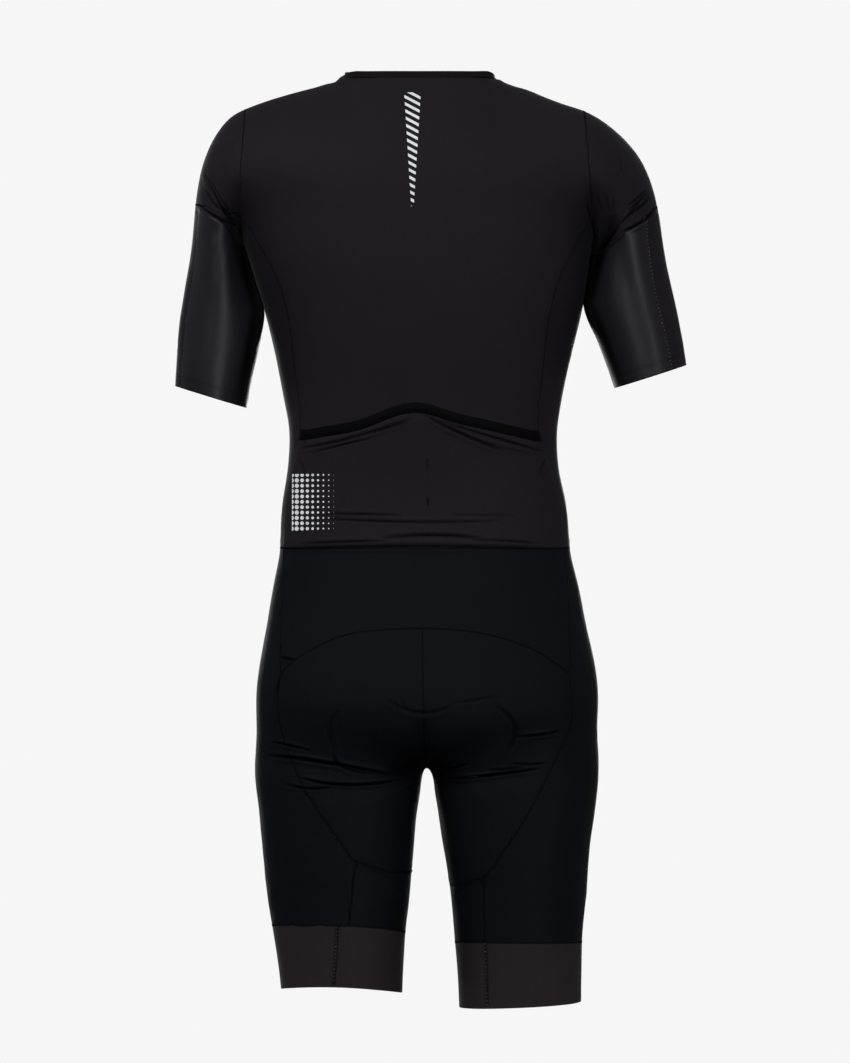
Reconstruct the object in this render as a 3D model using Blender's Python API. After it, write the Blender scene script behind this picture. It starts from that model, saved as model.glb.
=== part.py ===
"""Short-sleeved triathlon suit, worn: cut and sewn panels standing on a general figure.

The tables are in millimetres and the meshes in metres. The suit faces +Y, its wearer's
right is +X, and the origin is the middle of the neck opening, level with the back of
the neck. Each panel is a thin wall whose outer face lies on the worn form.
"""
import math

import bmesh
import bpy
import numpy as np
from mathutils import Matrix, Vector

for thing in list(bpy.data.objects):
    bpy.data.objects.remove(thing)

MM = 0.001

# Cloth, as thickness of each wall
JERSEY = 1.2            # back, sides, fronts, sleeves, shorts
POCKET_CLOTH = 1.2
BAND_ELASTIC = 1.8
GRIPPER = 1.5           # leg cuffs
BINDING = 2.2
TAPE = 0.8
PAD = 5.5

# Clearances
SEAM_HALF_GAP = 0.15    # each panel stops this far from its seam line
INNER_EDGE_BACK = 0.5   # the inside edge stops further back, so that walls can bend over a seam
LAYER_GAP = 0.5         # between cloth that lies on cloth

# Form of the figure
BODY_POWER = 2.35       # squareness of the rounded sections
CHEST_TOP = -130        # the shoulders round over above this height
SEAT_LOW = -640         # the seat rounds under below this height
CROTCH = -722
LEG_TOP = -650          # the thigh forms fade into the hips above this height
LEG_FADE = 100
HIP_BLEND = 22          # radius-like sizes of the soft unions
LEG_BLEND = 3

TORSO = (  # height, left edge, right edge, back, front
    (60, -270, 270, -56, 24),
    (0, -270, 270, -64, 27),
    (-40, -270, 265, -94, 42),
    (-80, -264, 258, -110, 62),
    (-110, -236, 232, -117, 84),
    (-135, -203, 199, -119, 98),
    (-155, -191, 187.5, -120, 107),
    (-175, -185.5, 181, -120, 113),
    (-205, -176.5, 177, -119, 118),
    (-247, -163.5, 170, -113, 119),
    (-290, -153, 159.5, -105, 115),
    (-330, -145, 150.5, -96, 110),
    (-373, -137.5, 144, -88, 106),
    (-415, -139.5, 146, -83, 103),
    (-457, -146, 154.5, -82, 101),
    (-499, -147.5, 157.5, -86, 99),
    (-541, -155, 167, -96, 97),
    (-583, -161.5, 174.5, -108, 94),
    (-625, -166, 180.5, -119, 89),
    (-667, -168, 182, -124, 82),
    (-730, -168, 182, -118, 72),
)
SHOULDER_LINE = (  # across, height of the ridge that the shoulders make
    (-240, -100),
    (-211, -58),
    (-193, -43),
    (-166, -30.5),
    (-126, -18),
    (-98, -9),
    (-80, 0),
    (-55, 70),
    (0, 150),
    (55, 70),
    (79, 0),
    (98, -9),
    (122, -21),
    (146, -30.5),
    (180, -43),
    (205, -58),
    (235, -100),
)
LEG = {  # height, outer edge, inner edge, back, front
    "left": (
        (-560, -150, -20, -80, 70),
        (-650, -163, -8, -92, 80),
        (-700, -172, -4, -92, 83),
        (-730, -173.5, 1.5, -90, 84),
        (-772, -169, -3.5, -87, 83),
        (-814, -165, -7.5, -83, 82),
        (-856, -161, -10.5, -78, 79),
        (-898, -154.5, -15.5, -73, 76),
        (-940, -148, -18, -68, 71),
        (-1000, -143, -20, -62, 66),
    ),
    "right": (
        (-560, 165, 34, -80, 70),
        (-650, 178, 22, -92, 80),
        (-700, 186, 19, -92, 83),
        (-730, 187, 13.5, -90, 84),
        (-772, 183, 19, -87, 83),
        (-814, 177.5, 25, -83, 82),
        (-856, 174.5, 31.5, -78, 79),
        (-898, 170, 35.5, -73, 76),
        (-940, 169, 39, -68, 71),
        (-1000, 168, 42, -62, 66),
    ),
}
LEG_AXIS = {"left": -86, "right": 102}
PAD_LOBES = (  # across, height, half width, half height, standing out
    (-42, -702, 52, 44, 2.5),
    (50, -700, 52, 46, 2.5),
)
SEAT_FOLDS = (  # from across and height, to across and height, depth, half width
    (-165, -713, -28, -734, 3.2, 9),
    (-128, -741, -30, -744, 2.4, 8),
    (18, -741, 134, -726, 3.2, 9),
)
CENTRE_LINE = ((-740, 7.5), (-680, 4), (-580, 2.7), (-350, 2.5), (0, -0.5))  # height, across

# Seams
NECK_AXIS = (-0.5, -8)
NECK_SEAM = (  # angle from the back of the neck, height
    (0, -2), (60, -2), (88, -3), (100, -11), (115, -32), (132, -56), (152, -74), (180, -80),
)
BINDING_ROWS = (0, 3, 6.3)      # up from the neck seam
BINDING_PROUD = 0.4
SHOULDER_SEAM_ANGLE = 97        # where the shoulder seam leaves the neck
SHOULDER_SEAM_TURN = -8         # where it meets the armhole, from the armhole's top
ARMHOLE = {  # across at its top, across at its bottom
    "left": (-183, -188),
    "right": (171, 182),
}
ARMHOLE_CENTRE = (-5, -103)     # depth, height
ARMHOLE_HALF_HEIGHT = 64
ARMHOLE_BACK_TURN = 135         # turns from the top at which the side panel begins and ends
ARMHOLE_FRONT_TURN = 225
SIDE_BACK_SEAM = (  # height, left, right
    (-196, -157.5, 153.5), (-226, -144, 140), (-263, -136, 132.5), (-321, -130, 127),
    (-370, -124, 121), (-413, -134, 136.5), (-446, -141, 149), (-496, -142.5, 151),
)
SIDE_FRONT_SEAM = (  # height, left, right
    (-215, -140, 138), (-263, -126, 125), (-321, -117, 118), (-415, -110, 114), (-496, -114, 122),
)
WAIST = -496
WAIST_AXIS_DEPTH = 10           # middle of the waist, front to back
ARC_SEAM = (  # across, height: over the seat, seen from behind
    (-144.5, -627), (-130, -612), (-106, -598), (-78, -586), (-43, -581), (2.7, -579.5),
    (34, -580.5), (63, -584), (91, -591), (125, -605), (155, -627),
)
HIP_SEAM = (  # height, left, right
    (-496, -142.5, 151), (-545, -144, 154.5), (-597, -145.5, 156), (-627, -144.5, 155),
)
SEAT_SEAM = {  # across, height: down the hip and round the back of the thigh
    "left": ((-144.5, -627), (-148, -652), (-143, -690), (-126, -735), (-106, -769),
             (-80, -806), (-66, -823)),
    "right": ((155, -627), (157.5, -655), (156.5, -682), (147, -702), (132, -734),
              (106, -782), (84, -816), (65, -840)),
}
INSEAM_WRAP = {  # turn round the leg from its back, height
    "left": ((30, -830), (55, -835), (90, -834), (112, -815), (124, -785), (131, -752)),
    "right": ((45, -846), (65, -850), (90, -849), (112, -828), (124, -792), (131, -752)),
}
INSEAM_SMOOTHING = 150          # rounds of smoothing that take the corners out of the inseam
BACK_LEG_SEAM_END = {"left": -75.5, "right": 67}    # across, at the cuff
LEG_FRONT_TURN = -135                               # where the front leg seam meets the cuff
LEG_FRONT_BEND = {"left": -838, "right": -860}      # height there, level with the inseam's bend
UNDER_PIVOT = (-10, -650)       # depth, height: the centre seam turns under round this
UNDER_REACH = 77                # about how far the seam runs from that pivot
UNDER_TURN = 128                # from straight back to where seat and front legs meet
CUFF_TOP = {  # height at back, outer, front, inner
    "left": (-889, -892, -894, -898),
    "right": (-907.5, -909, -909, -908.5),
}
CUFF_HEM = {
    "left": (-954, -959, -958, -963),
    "right": (-975.5, -972, -975, -978),
}

# Sleeves: one row per station down the arm, from the armhole to the hem
SLEEVE = {  # outer across, outer height, inner across, inner height, back, front
    "left": (
        (-183, -39, -188, -167, -72, 62),
        (-203, -51, -189.5, -169, -72, 60),
        (-220.5, -75, -190, -172, -70, 58),
        (-231, -105, -189.5, -176, -68, 56),
        (-236, -138, -188.5, -182, -65, 54),
        (-238.5, -168, -184, -204, -62, 53),
        (-243, -200, -176.5, -230, -60, 52),
        (-248.5, -232, -168.5, -256, -58, 51),
        (-253, -263, -169, -287, -57, 51),
        (-255.5, -295, -176, -318, -56, 50),
        (-257.5, -326.5, -181.7, -349.5, -55, 50),
    ),
    "right": (
        (171, -39, 182, -167, -72, 62),
        (192, -50, 183.5, -169, -72, 60),
        (216.5, -70, 184.5, -174, -70, 58),
        (237.5, -100, 185, -181, -68, 56),
        (249, -139, 184.5, -192, -65, 54),
        (253.5, -168, 181, -212, -62, 53),
        (258.5, -197, 178.5, -233, -60, 52),
        (264.5, -225, 176.5, -253, -58, 51),
        (270.5, -252, 185, -277, -57, 51),
        (275.5, -278, 195, -303, -56, 50),
        (279.5, -304.5, 203.7, -328.7, -55, 50),
    ),
}
CAP_STATIONS = 4                # the cap ends at this station
SLEEVE_DEPTH_CENTRE = -4
ARMHOLE_STEP_OUT = 0.25         # the sleeve starts this far outside the armhole
OUTER_SLEEVE_SEAM = {"left": 2, "right": 3}     # columns from the top to the lengthwise seam

# Pocket
POCKET_EDGE = (  # across, height of the band's lower edge
    (-119, -383.5), (-65, -374), (-8.5, -356), (3, -356), (27, -363.5), (80, -376), (120.5, -385),
)
BAND_HEIGHT = 11

# Seat pad
PAD_DEPTH = 3.0                 # its face below the outer face of the seat
PAD_TOP = {  # across, height of its top edge, from the middle outwards
    "left": ((3.8, -664), (-20, -661), (-45, -658), (-66, -662)),
    "right": ((3.8, -664), (28, -660), (52, -657), (74, -661)),
}
PAD_SIDE = {  # across, height of its side seen from behind
    "left": ((-66, -662), (-86, -678), (-89, -702), (-76, -727)),
    "right": ((74, -661), (94, -678), (97, -702), (84, -727)),
}
PAD_THIGH = {  # turn round the leg from its back, height, where it narrows under the crotch
    "left": ((48, -746), (76, -752), (104, -748)),
    "right": ((48, -750), (76, -755), (104, -750)),
}
PAD_UNDER_TURN = 112            # turn of the centre seam at which the pad ends
PAD_FRONT_EDGE = {"left": (122, -742), "right": (122, -744)}
PAD_HALF_CELLS = 5
PAD_CELLS = 10

# Front zip
ZIP_HALF_GAP = 4                # from the centre line to each front's edge
COIL_HALF_WIDTH = 2.4
COIL_THICKNESS = 2.1
COIL_PROUD = 0.6                # above the outer face of the fronts
TAPE_COLUMNS = (0.8, 6, 14)     # distances from the centre line
TAPE_DEPTH = 1.9                # its face below the outer face of the fronts
SLIDER_HEIGHT = -97
SLIDER_PLATE = (8.4, 11, 2.2)   # across, along the zip, thick
SLIDER_LIFT = 0.4               # above the coil
LUG = (1.2, 4.4, 3.9)
LUG_SINK = 0.4                  # the lugs' roots in the plate
LUG_APART = 3.6                 # clear width between the lugs
PIN_RADIUS = 0.6
PIN_UP = 2.5                    # above the slider's plate
EYE_OUTER = 1.8
EYE_INNER = 0.95
EYE_WIDTH = 2.8
PULL_PLATE = (5.4, 22, 1.3)     # across, long, thick
PULL_START = 4.5                # from the pin to the plate's top
PULL_TILT = 4                   # towards the chest, in degrees
ROUND_SIDES = 16

# Cells along each stretch of seam; panels that meet share them
SHOULDER_CELLS = 5
NECK_BACK_CELLS = 8
NECK_FRONT_CELLS = 6
ARMHOLE_CELLS = 7
UNDERARM_CELLS = 6
SIDE_CELLS = 14
HIP_CELLS = 6
SEAT_CELLS = 16
BACK_LEG_CELLS = 4
INSEAM_CELLS = 9
INSEAM_BEND_CELLS = {"left": 5, "right": 4}     # of those, from the back of the thigh to the bend
CUFF_CELLS = 3
CAP_CELLS = 5
SLEEVE_CELLS = 9
POCKET_CELLS = 6

LEFT_RIGHT = {"left": -1, "right": 1}
COLUMN = {"left": 1, "right": 2}
SMOOTH_STEPS = 160


# ---------------------------------------------------------------- curves through tables

def value_at(table, column, place):
    """Value of a column at a place in the first column, on a smooth curve through the rows."""
    rows = np.array(table, float)
    rows = rows[np.argsort(rows[:, 0])]
    places, values = rows[:, 0], rows[:, column]
    slopes = np.gradient(values, places)
    place = np.clip(place, places[0], places[-1])
    index = np.clip(np.searchsorted(places, place) - 1, 0, len(places) - 2)
    span = places[index + 1] - places[index]
    t = (place - places[index]) / span
    return ((1 + 2 * t) * (1 - t) ** 2 * values[index] + t * (1 - t) ** 2 * span * slopes[index]
            + t * t * (3 - 2 * t) * values[index + 1] + t * t * (t - 1) * span * slopes[index + 1])


def through(controls, steps=SMOOTH_STEPS):
    """Dense smooth curve through a few rows of coordinates."""
    controls = np.array(controls, float)
    lengths = np.linalg.norm(np.diff(controls, axis=0), axis=1)
    along = np.concatenate([[0], np.cumsum(lengths)])
    table = np.column_stack([along, controls])
    at = np.linspace(0, along[-1], steps)
    return np.stack([value_at(table, column, at) for column in range(1, table.shape[1])], axis=-1)


def evenly(points, cells):
    """The same curve as `cells` equal steps."""
    lengths = np.linalg.norm(np.diff(points, axis=0), axis=1)
    along = np.concatenate([[0], np.cumsum(lengths)])
    at = np.linspace(0, along[-1], cells + 1)
    return np.stack([np.interp(at, along, points[:, axis]) for axis in range(3)], axis=-1)


def chain(*stretches):
    """Stretches of seam end to end, each starting where the last one ends."""
    return np.concatenate([stretches[0]] + [stretch[1:] for stretch in stretches[1:]])


# ---------------------------------------------------------------- the worn form

def soft_union(a, b, blend):
    """The lesser of two measures, with the corner between them filled in."""
    near = np.maximum(blend - np.abs(a - b), 0) / blend
    return np.minimum(a, b) - near * near * blend / 4


def section(p, table, x_columns, y_columns, *ends):
    """Signed measure of a stack of rounded sections, closed by the terms in `ends`."""
    x, y, z = p[..., 0], p[..., 1], p[..., 2]
    low, high = (value_at(table, column, z) for column in x_columns)
    back, front = (value_at(table, column, z) for column in y_columns)
    half_width, half_depth = np.abs(high - low) / 2, (front - back) / 2
    across = np.abs(x - (low + high) / 2) / half_width
    deep = np.abs(y - (back + front) / 2) / half_depth
    total = across ** BODY_POWER + deep ** BODY_POWER
    for end in ends:
        total = total + end(x, z, across) ** BODY_POWER
    return (total ** (1 / BODY_POWER) - 1) * np.minimum(half_width, half_depth)


def shoulder_rise(x, z, across):
    ridge = value_at(SHOULDER_LINE, 1, x)
    keep = np.maximum(1 - across ** BODY_POWER, 1e-6) ** (1 / BODY_POWER)
    return np.maximum(z - CHEST_TOP, 0) / (ridge - CHEST_TOP) * keep


def seat_drop(x, z, across):
    return np.maximum(SEAT_LOW - z, 0) / (SEAT_LOW - CROTCH)


def leg_fade(x, z, across):
    return np.maximum(z - LEG_TOP, 0) / LEG_FADE


def seat_relief(p):
    """How far the seat stands out over the pad and falls in at the folds under it."""
    x, y, z = p[..., 0], p[..., 1], p[..., 2]
    out = np.zeros_like(x)
    for lobe_x, lobe_z, half_x, half_z, height in PAD_LOBES:
        away = ((x - lobe_x) / half_x) ** 2 + ((z - lobe_z) / half_z) ** 2
        out = out + height * np.maximum(1 - away, 0) ** 2
    for x1, z1, x2, z2, depth, width in SEAT_FOLDS:
        share = np.clip(((x - x1) * (x2 - x1) + (z - z1) * (z2 - z1))
                        / ((x2 - x1) ** 2 + (z2 - z1) ** 2), 0, 1)
        away = np.hypot(x - x1 - share * (x2 - x1), z - z1 - share * (z2 - z1))
        out = out - depth * np.exp(-(away / width) ** 2) * np.sin(np.pi * (0.15 + 0.7 * share))
    return out * np.clip(-y / 40, 0, 1)


def form(p):
    """Negative inside the figure, zero on the cloth's outer face, positive outside."""
    torso = section(p, TORSO, (1, 2), (3, 4), shoulder_rise, seat_drop)
    legs = [section(p, LEG[side], (1, 2), (3, 4), leg_fade) for side in LEG]
    return soft_union(torso, soft_union(*legs, LEG_BLEND), HIP_BLEND) - seat_relief(p)


def slope(p, step=0.5):
    """Rate of change of the form along each axis, from two points a step to either side."""
    parts = []
    for axis in range(3):
        shift = np.zeros(3)
        shift[axis] = step
        parts.append((form(p + shift) - form(p - shift)) / (2 * step))
    return np.stack(parts, axis=-1)


def unit(v):
    return v / np.maximum(np.linalg.norm(v, axis=-1, keepdims=True), 1e-9)


def press(p, rounds=12, longest=15):
    """Points moved onto the form along its slope."""
    for _ in range(rounds):
        gradient = slope(p)
        size = np.maximum(np.linalg.norm(gradient, axis=-1, keepdims=True), 0.2)
        step = form(p)[..., None] / size
        p = p - np.clip(step, -longest, longest) * gradient / size
    return p


def meet(start, direction, reach=420, samples=211, halvings=30):
    """Where rays from inside the figure first come out of it."""
    start, direction = np.broadcast_arrays(np.asarray(start, float), unit(np.asarray(direction, float)))
    steps = np.linspace(0, reach, samples)
    inside = form(start[..., None, :] + direction[..., None, :] * steps[:, None]) < 0
    first = np.maximum(np.argmin(inside, axis=-1), 1)
    near, far = steps[first - 1], steps[first]
    for _ in range(halvings):
        middle = (near + far) / 2
        is_inside = form(start + direction * middle[..., None]) < 0
        near = np.where(is_inside, middle, near)
        far = np.where(is_inside, far, middle)
    return start + direction * near[..., None]


def behind(x, z):
    x, z = np.broadcast_arrays(np.asarray(x, float), z)
    return meet(np.stack([x, np.zeros_like(x), z], axis=-1), (0, -1, 0))


def ahead(x, z):
    x, z = np.broadcast_arrays(np.asarray(x, float), z)
    return meet(np.stack([x, np.zeros_like(x), z], axis=-1), (0, 1, 0))


def level_turns(axis, start, end, steps=SMOOTH_STEPS):
    """Round the form from one point to another, level or evenly climbing, about an upright axis."""
    def turn(p):
        return math.atan2(p[0] - axis[0], -(p[1] - axis[1]))
    turns = np.linspace(turn(start), turn(end), steps)
    heights = np.linspace(start[2], end[2], steps)
    centre = np.stack([np.full(steps, axis[0]), np.full(steps, axis[1]), heights], axis=-1)
    out = np.stack([np.sin(turns), -np.cos(turns), np.zeros(steps)], axis=-1)
    return meet(centre, out)


# ---------------------------------------------------------------- seams

def neck_point(angle, lift=0):
    """Points on the neck seam; the angle runs from the back, left negative."""
    angle = np.asarray(angle, float)
    height = value_at(NECK_SEAM, 1, np.abs(angle)) + lift
    turn = np.radians(angle)
    centre = np.stack([np.full_like(turn, NECK_AXIS[0]), np.full_like(turn, NECK_AXIS[1]), height], axis=-1)
    return meet(centre, np.stack([np.sin(turn), -np.cos(turn), np.zeros_like(turn)], axis=-1))


def armhole(side, first, last):
    """Stretch of the armhole seam between two turns from its top, towards the back."""
    top, bottom = ARMHOLE[side]
    turns = np.radians(np.linspace(first, last, SMOOTH_STEPS))
    lean = (top - bottom) / 2 / ARMHOLE_HALF_HEIGHT
    centre = ((top + bottom) / 2, *ARMHOLE_CENTRE)
    return meet(centre, np.stack([lean * np.cos(turns), -np.sin(turns), np.cos(turns)], axis=-1))


def centre_under(first, last):
    """Stretch of the centre seam under the crotch, between two turns from straight back."""
    turns = np.radians(np.linspace(first, last, SMOOTH_STEPS))
    guess = UNDER_PIVOT[1] - UNDER_REACH * np.sin(turns)
    x = value_at(CENTRE_LINE, 1, guess)
    start = np.stack([x, np.full_like(x, UNDER_PIVOT[0]), np.full_like(x, UNDER_PIVOT[1])], axis=-1)
    return meet(start, np.stack([np.zeros_like(x), -np.cos(turns), -np.sin(turns)], axis=-1))


def leg_round(side, turns, heights):
    """Points round one leg; turns run from the back through the inner side to the front."""
    turn = np.radians(np.asarray(turns, float)) * -LEFT_RIGHT[side]
    centre = np.stack([np.full_like(turn, LEG_AXIS[side]), np.zeros_like(turn), heights], axis=-1)
    return meet(centre, np.stack([np.sin(turn), -np.cos(turn), np.zeros_like(turn)], axis=-1))


def leg_turn(side, p):
    return math.degrees(math.atan2(-LEFT_RIGHT[side] * (p[0] - LEG_AXIS[side]), -p[1]))


def round_height(levels, turns):
    """Height of a leg's cuff line at turns from the back through the inner side."""
    back, outer, front, inner = levels
    angle = np.radians(turns)
    return ((back + outer + front + inner) / 4 + (back - front) / 2 * np.cos(angle)
            + (inner - outer) / 2 * np.sin(angle)
            + (back + front - inner - outer) / 4 * np.cos(2 * angle))


def centre_x(z):
    return value_at(CENTRE_LINE, 1, z)


def seams_of(side):
    """Every seam on one half of the suit, cut into its cells."""
    sign, column = LEFT_RIGHT[side], COLUMN[side]
    seam = {}

    # neck, shoulder and armhole
    seam["neck back half"] = neck_point(np.linspace(0, sign * SHOULDER_SEAM_ANGLE, SMOOTH_STEPS))
    zip_top = ahead([centre_x(-80) + sign * ZIP_HALF_GAP], np.array([-80.0]))
    neck_front = neck_point(np.linspace(sign * SHOULDER_SEAM_ANGLE, sign * 174, SMOOTH_STEPS))
    seam["neck front"] = evenly(chain(neck_front, np.concatenate([neck_front[-1:], zip_top])),
                                NECK_FRONT_CELLS)
    full_turn = 360 + SHOULDER_SEAM_TURN
    seam["armhole back"] = evenly(armhole(side, SHOULDER_SEAM_TURN, ARMHOLE_BACK_TURN), ARMHOLE_CELLS)
    seam["underarm"] = evenly(armhole(side, ARMHOLE_BACK_TURN, ARMHOLE_FRONT_TURN), UNDERARM_CELLS)
    seam["armhole front"] = evenly(armhole(side, ARMHOLE_FRONT_TURN, full_turn), ARMHOLE_CELLS)
    neck_side, tip = seam["neck front"][0], seam["armhole back"][0]
    plan = np.linspace(neck_side, tip, SMOOTH_STEPS)
    over = meet(np.column_stack([plan[:, :2], np.full(SMOOTH_STEPS, -110)]), (0, 0, 1))
    seam["shoulder"] = evenly(np.concatenate([[neck_side], over[1:-1], [tip]]), SHOULDER_CELLS)

    # side seams of the top
    rows = through([(row[0], row[column]) for row in SIDE_BACK_SEAM])
    seam["side back"] = evenly(press_start(seam["underarm"][0], behind(rows[:, 1], rows[:, 0])),
                               SIDE_CELLS)
    rows = through([(row[0], row[column]) for row in SIDE_FRONT_SEAM])
    seam["side front"] = evenly(press_start(seam["underarm"][-1], ahead(rows[:, 1], rows[:, 0])),
                                SIDE_CELLS)

    # zip edge and waist
    heights = np.linspace(-80, WAIST, SMOOTH_STEPS)
    seam["zip"] = evenly(ahead(centre_x(heights) + sign * ZIP_HALF_GAP, heights),
                         ARMHOLE_CELLS + SIDE_CELLS)
    waist_axis = (centre_x(WAIST), WAIST_AXIS_DEPTH)
    seam["waist side"] = evenly(level_turns(waist_axis, seam["side back"][-1], seam["side front"][-1]),
                                UNDERARM_CELLS)
    seam["waist front"] = evenly(level_turns(waist_axis, seam["zip"][-1], seam["side front"][-1]),
                                 NECK_FRONT_CELLS + SHOULDER_CELLS)

    # hips, seat and inner thigh
    rows = through([(row[0], row[column]) for row in HIP_SEAM])
    seam["hip"] = evenly(behind(rows[:, 1], rows[:, 0]), HIP_CELLS)
    rows = through(SEAT_SEAM[side])
    seam["seat"] = evenly(behind(rows[:, 0], rows[:, 1]), SEAT_CELLS)
    down = np.linspace(value_at(ARC_SEAM, 1, centre_x(-580)), UNDER_PIVOT[1], SMOOTH_STEPS)
    seam["centre back"] = evenly(chain(behind(centre_x(down), down), centre_under(0, UNDER_TURN)),
                                 SEAT_CELLS)
    down = np.linspace(WAIST, UNDER_PIVOT[1], SMOOTH_STEPS)
    seam["centre front"] = evenly(
        chain(ahead(centre_x(down), down), centre_under(180, UNDER_TURN)),
        SEAT_CELLS + HIP_CELLS - INSEAM_CELLS)
    junction = seam["seat"][-1]
    turns = through([(leg_turn(side, junction), junction[2])] + list(INSEAM_WRAP[side]))
    wrap = leg_round(side, turns[:, 0], turns[:, 1])
    to_crotch = press(np.linspace(wrap[-1], seam["centre back"][-1], SMOOTH_STEPS // 4))
    to_crotch[-1] = seam["centre back"][-1]
    seam["inseam"] = evenly(smooth_line(chain(wrap, to_crotch), INSEAM_SMOOTHING), INSEAM_CELLS)

    # leg seams down to the cuff
    cuff_back = np.array([float(CUFF_TOP[side][0])])
    end_turn = leg_turn(side, behind([BACK_LEG_SEAM_END[side]], cuff_back)[0])
    share = np.linspace(0, 1, SMOOTH_STEPS)
    start_turn = leg_turn(side, junction)
    low = round_height(CUFF_TOP[side], end_turn)
    seam["back leg"] = evenly(leg_round(side, start_turn + (end_turn - start_turn) * share,
                                        junction[2] + (low - junction[2]) * share), BACK_LEG_CELLS)
    top = seam["side front"][-1]
    start_turn = leg_turn(side, top)
    low = round_height(CUFF_TOP[side], LEG_FRONT_TURN)
    line = leg_round(side, start_turn + (LEG_FRONT_TURN - start_turn) * share,
                     top[2] + (low - top[2]) * share)
    upper, lower = line[line[:, 2] >= LEG_FRONT_BEND[side]], line[line[:, 2] <= LEG_FRONT_BEND[side]]
    seam["leg front"] = chain(evenly(upper, HIP_CELLS + SEAT_CELLS - INSEAM_BEND_CELLS[side]),
                              evenly(np.concatenate([upper[-1:], lower]),
                                     INSEAM_BEND_CELLS[side] + BACK_LEG_CELLS))
    outer = np.linspace(end_turn, LEG_FRONT_TURN, SMOOTH_STEPS)
    inner = np.linspace(end_turn, LEG_FRONT_TURN + 360, SMOOTH_STEPS)
    for name, levels in (("cuff top", CUFF_TOP[side]), ("cuff hem", CUFF_HEM[side])):
        seam[name + " outer"] = evenly(leg_round(side, outer, round_height(levels, outer)),
                                       UNDERARM_CELLS)
        seam[name + " inner"] = evenly(leg_round(side, inner, round_height(levels, inner)),
                                       NECK_FRONT_CELLS + SHOULDER_CELLS)
    return seam


def press_start(start, rest):
    """A seam led from a given start onto the first of its own points, along the form."""
    lead = press(np.linspace(start, rest[0], 12))
    lead[0] = start
    return smooth_line(np.concatenate([lead, rest[1:]]))


def smooth_line(points, rounds=40):
    """Takes the corner out of a line, its ends kept, and sets it back on the form."""
    dense = evenly(points, SMOOTH_STEPS)
    for _ in range(rounds):
        dense[1:-1] = (dense[:-2] + dense[2:]) / 2
    inner = press(dense[1:-1])
    return np.concatenate([dense[:1], inner, dense[-1:]])


# ---------------------------------------------------------------- panels

def coons(top, bottom, left, right):
    """Grid between four edges; rows run from top to bottom, columns from left to right."""
    rows, columns = len(left) - 1, len(top) - 1
    v = np.linspace(0, 1, rows + 1)[:, None, None]
    u = np.linspace(0, 1, columns + 1)[None, :, None]
    ruled = (1 - v) * top[None] + v * bottom[None] + (1 - u) * left[:, None] + u * right[:, None]
    corners = ((1 - u) * (1 - v) * top[0] + u * (1 - v) * top[-1]
               + (1 - u) * v * bottom[0] + u * v * bottom[-1])
    return ruled - corners


def fitted(top, bottom, left, right, rounds=50):
    """Grid between four seams, spread evenly and pressed onto the form."""
    grid = coons(top, bottom, left, right)
    grid[1:-1, 1:-1] = press(grid[1:-1, 1:-1])
    for _ in range(rounds):
        average = (grid[:-2, 1:-1] + grid[2:, 1:-1] + grid[1:-1, :-2] + grid[1:-1, 2:]) / 4
        grid[1:-1, 1:-1] = press(average, rounds=2)
    return grid


def grid_normals(grid, closed=False):
    """Unit normals of a grid, from the steps along its rows and columns."""
    wide = np.concatenate([grid[:, -2:-1], grid, grid[:, 1:2]], axis=1) if closed else grid
    down, along = np.gradient(wide, axis=0), np.gradient(wide, axis=1)
    if closed:
        down, along = down[:, 1:-1], along[:, 1:-1]
    return unit(np.cross(down, along))


def inset(grid, normals, amount, closed=False):
    """The grid with its free edges moved in along the surface."""
    moved = grid.copy()
    edges = [((0, slice(None)), (1, slice(None))), ((-1, slice(None)), (-2, slice(None)))]
    if not closed:
        edges += [((slice(None), 0), (slice(None), 1)), ((slice(None), -1), (slice(None), -2))]
    for edge, next_line in edges:
        along = unit(np.gradient(grid[edge], axis=0))
        inward = unit(np.cross(normals[edge], along))
        towards = grid[next_line] - grid[edge]
        flip = np.sign(np.sum(inward * towards, axis=-1, keepdims=True))
        moved[edge] += inward * flip * amount
    return moved


def add_object(name, bm, material):
    mesh = bpy.data.meshes.new(name)
    bmesh.ops.recalc_face_normals(bm, faces=bm.faces)
    bm.to_mesh(mesh)
    bm.free()
    mesh.materials.append(material)
    piece = bpy.data.objects.new(name, mesh)
    bpy.context.collection.objects.link(piece)
    mesh.shade_smooth()
    mesh.set_sharp_from_angle(angle=math.radians(50))
    return piece


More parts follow.
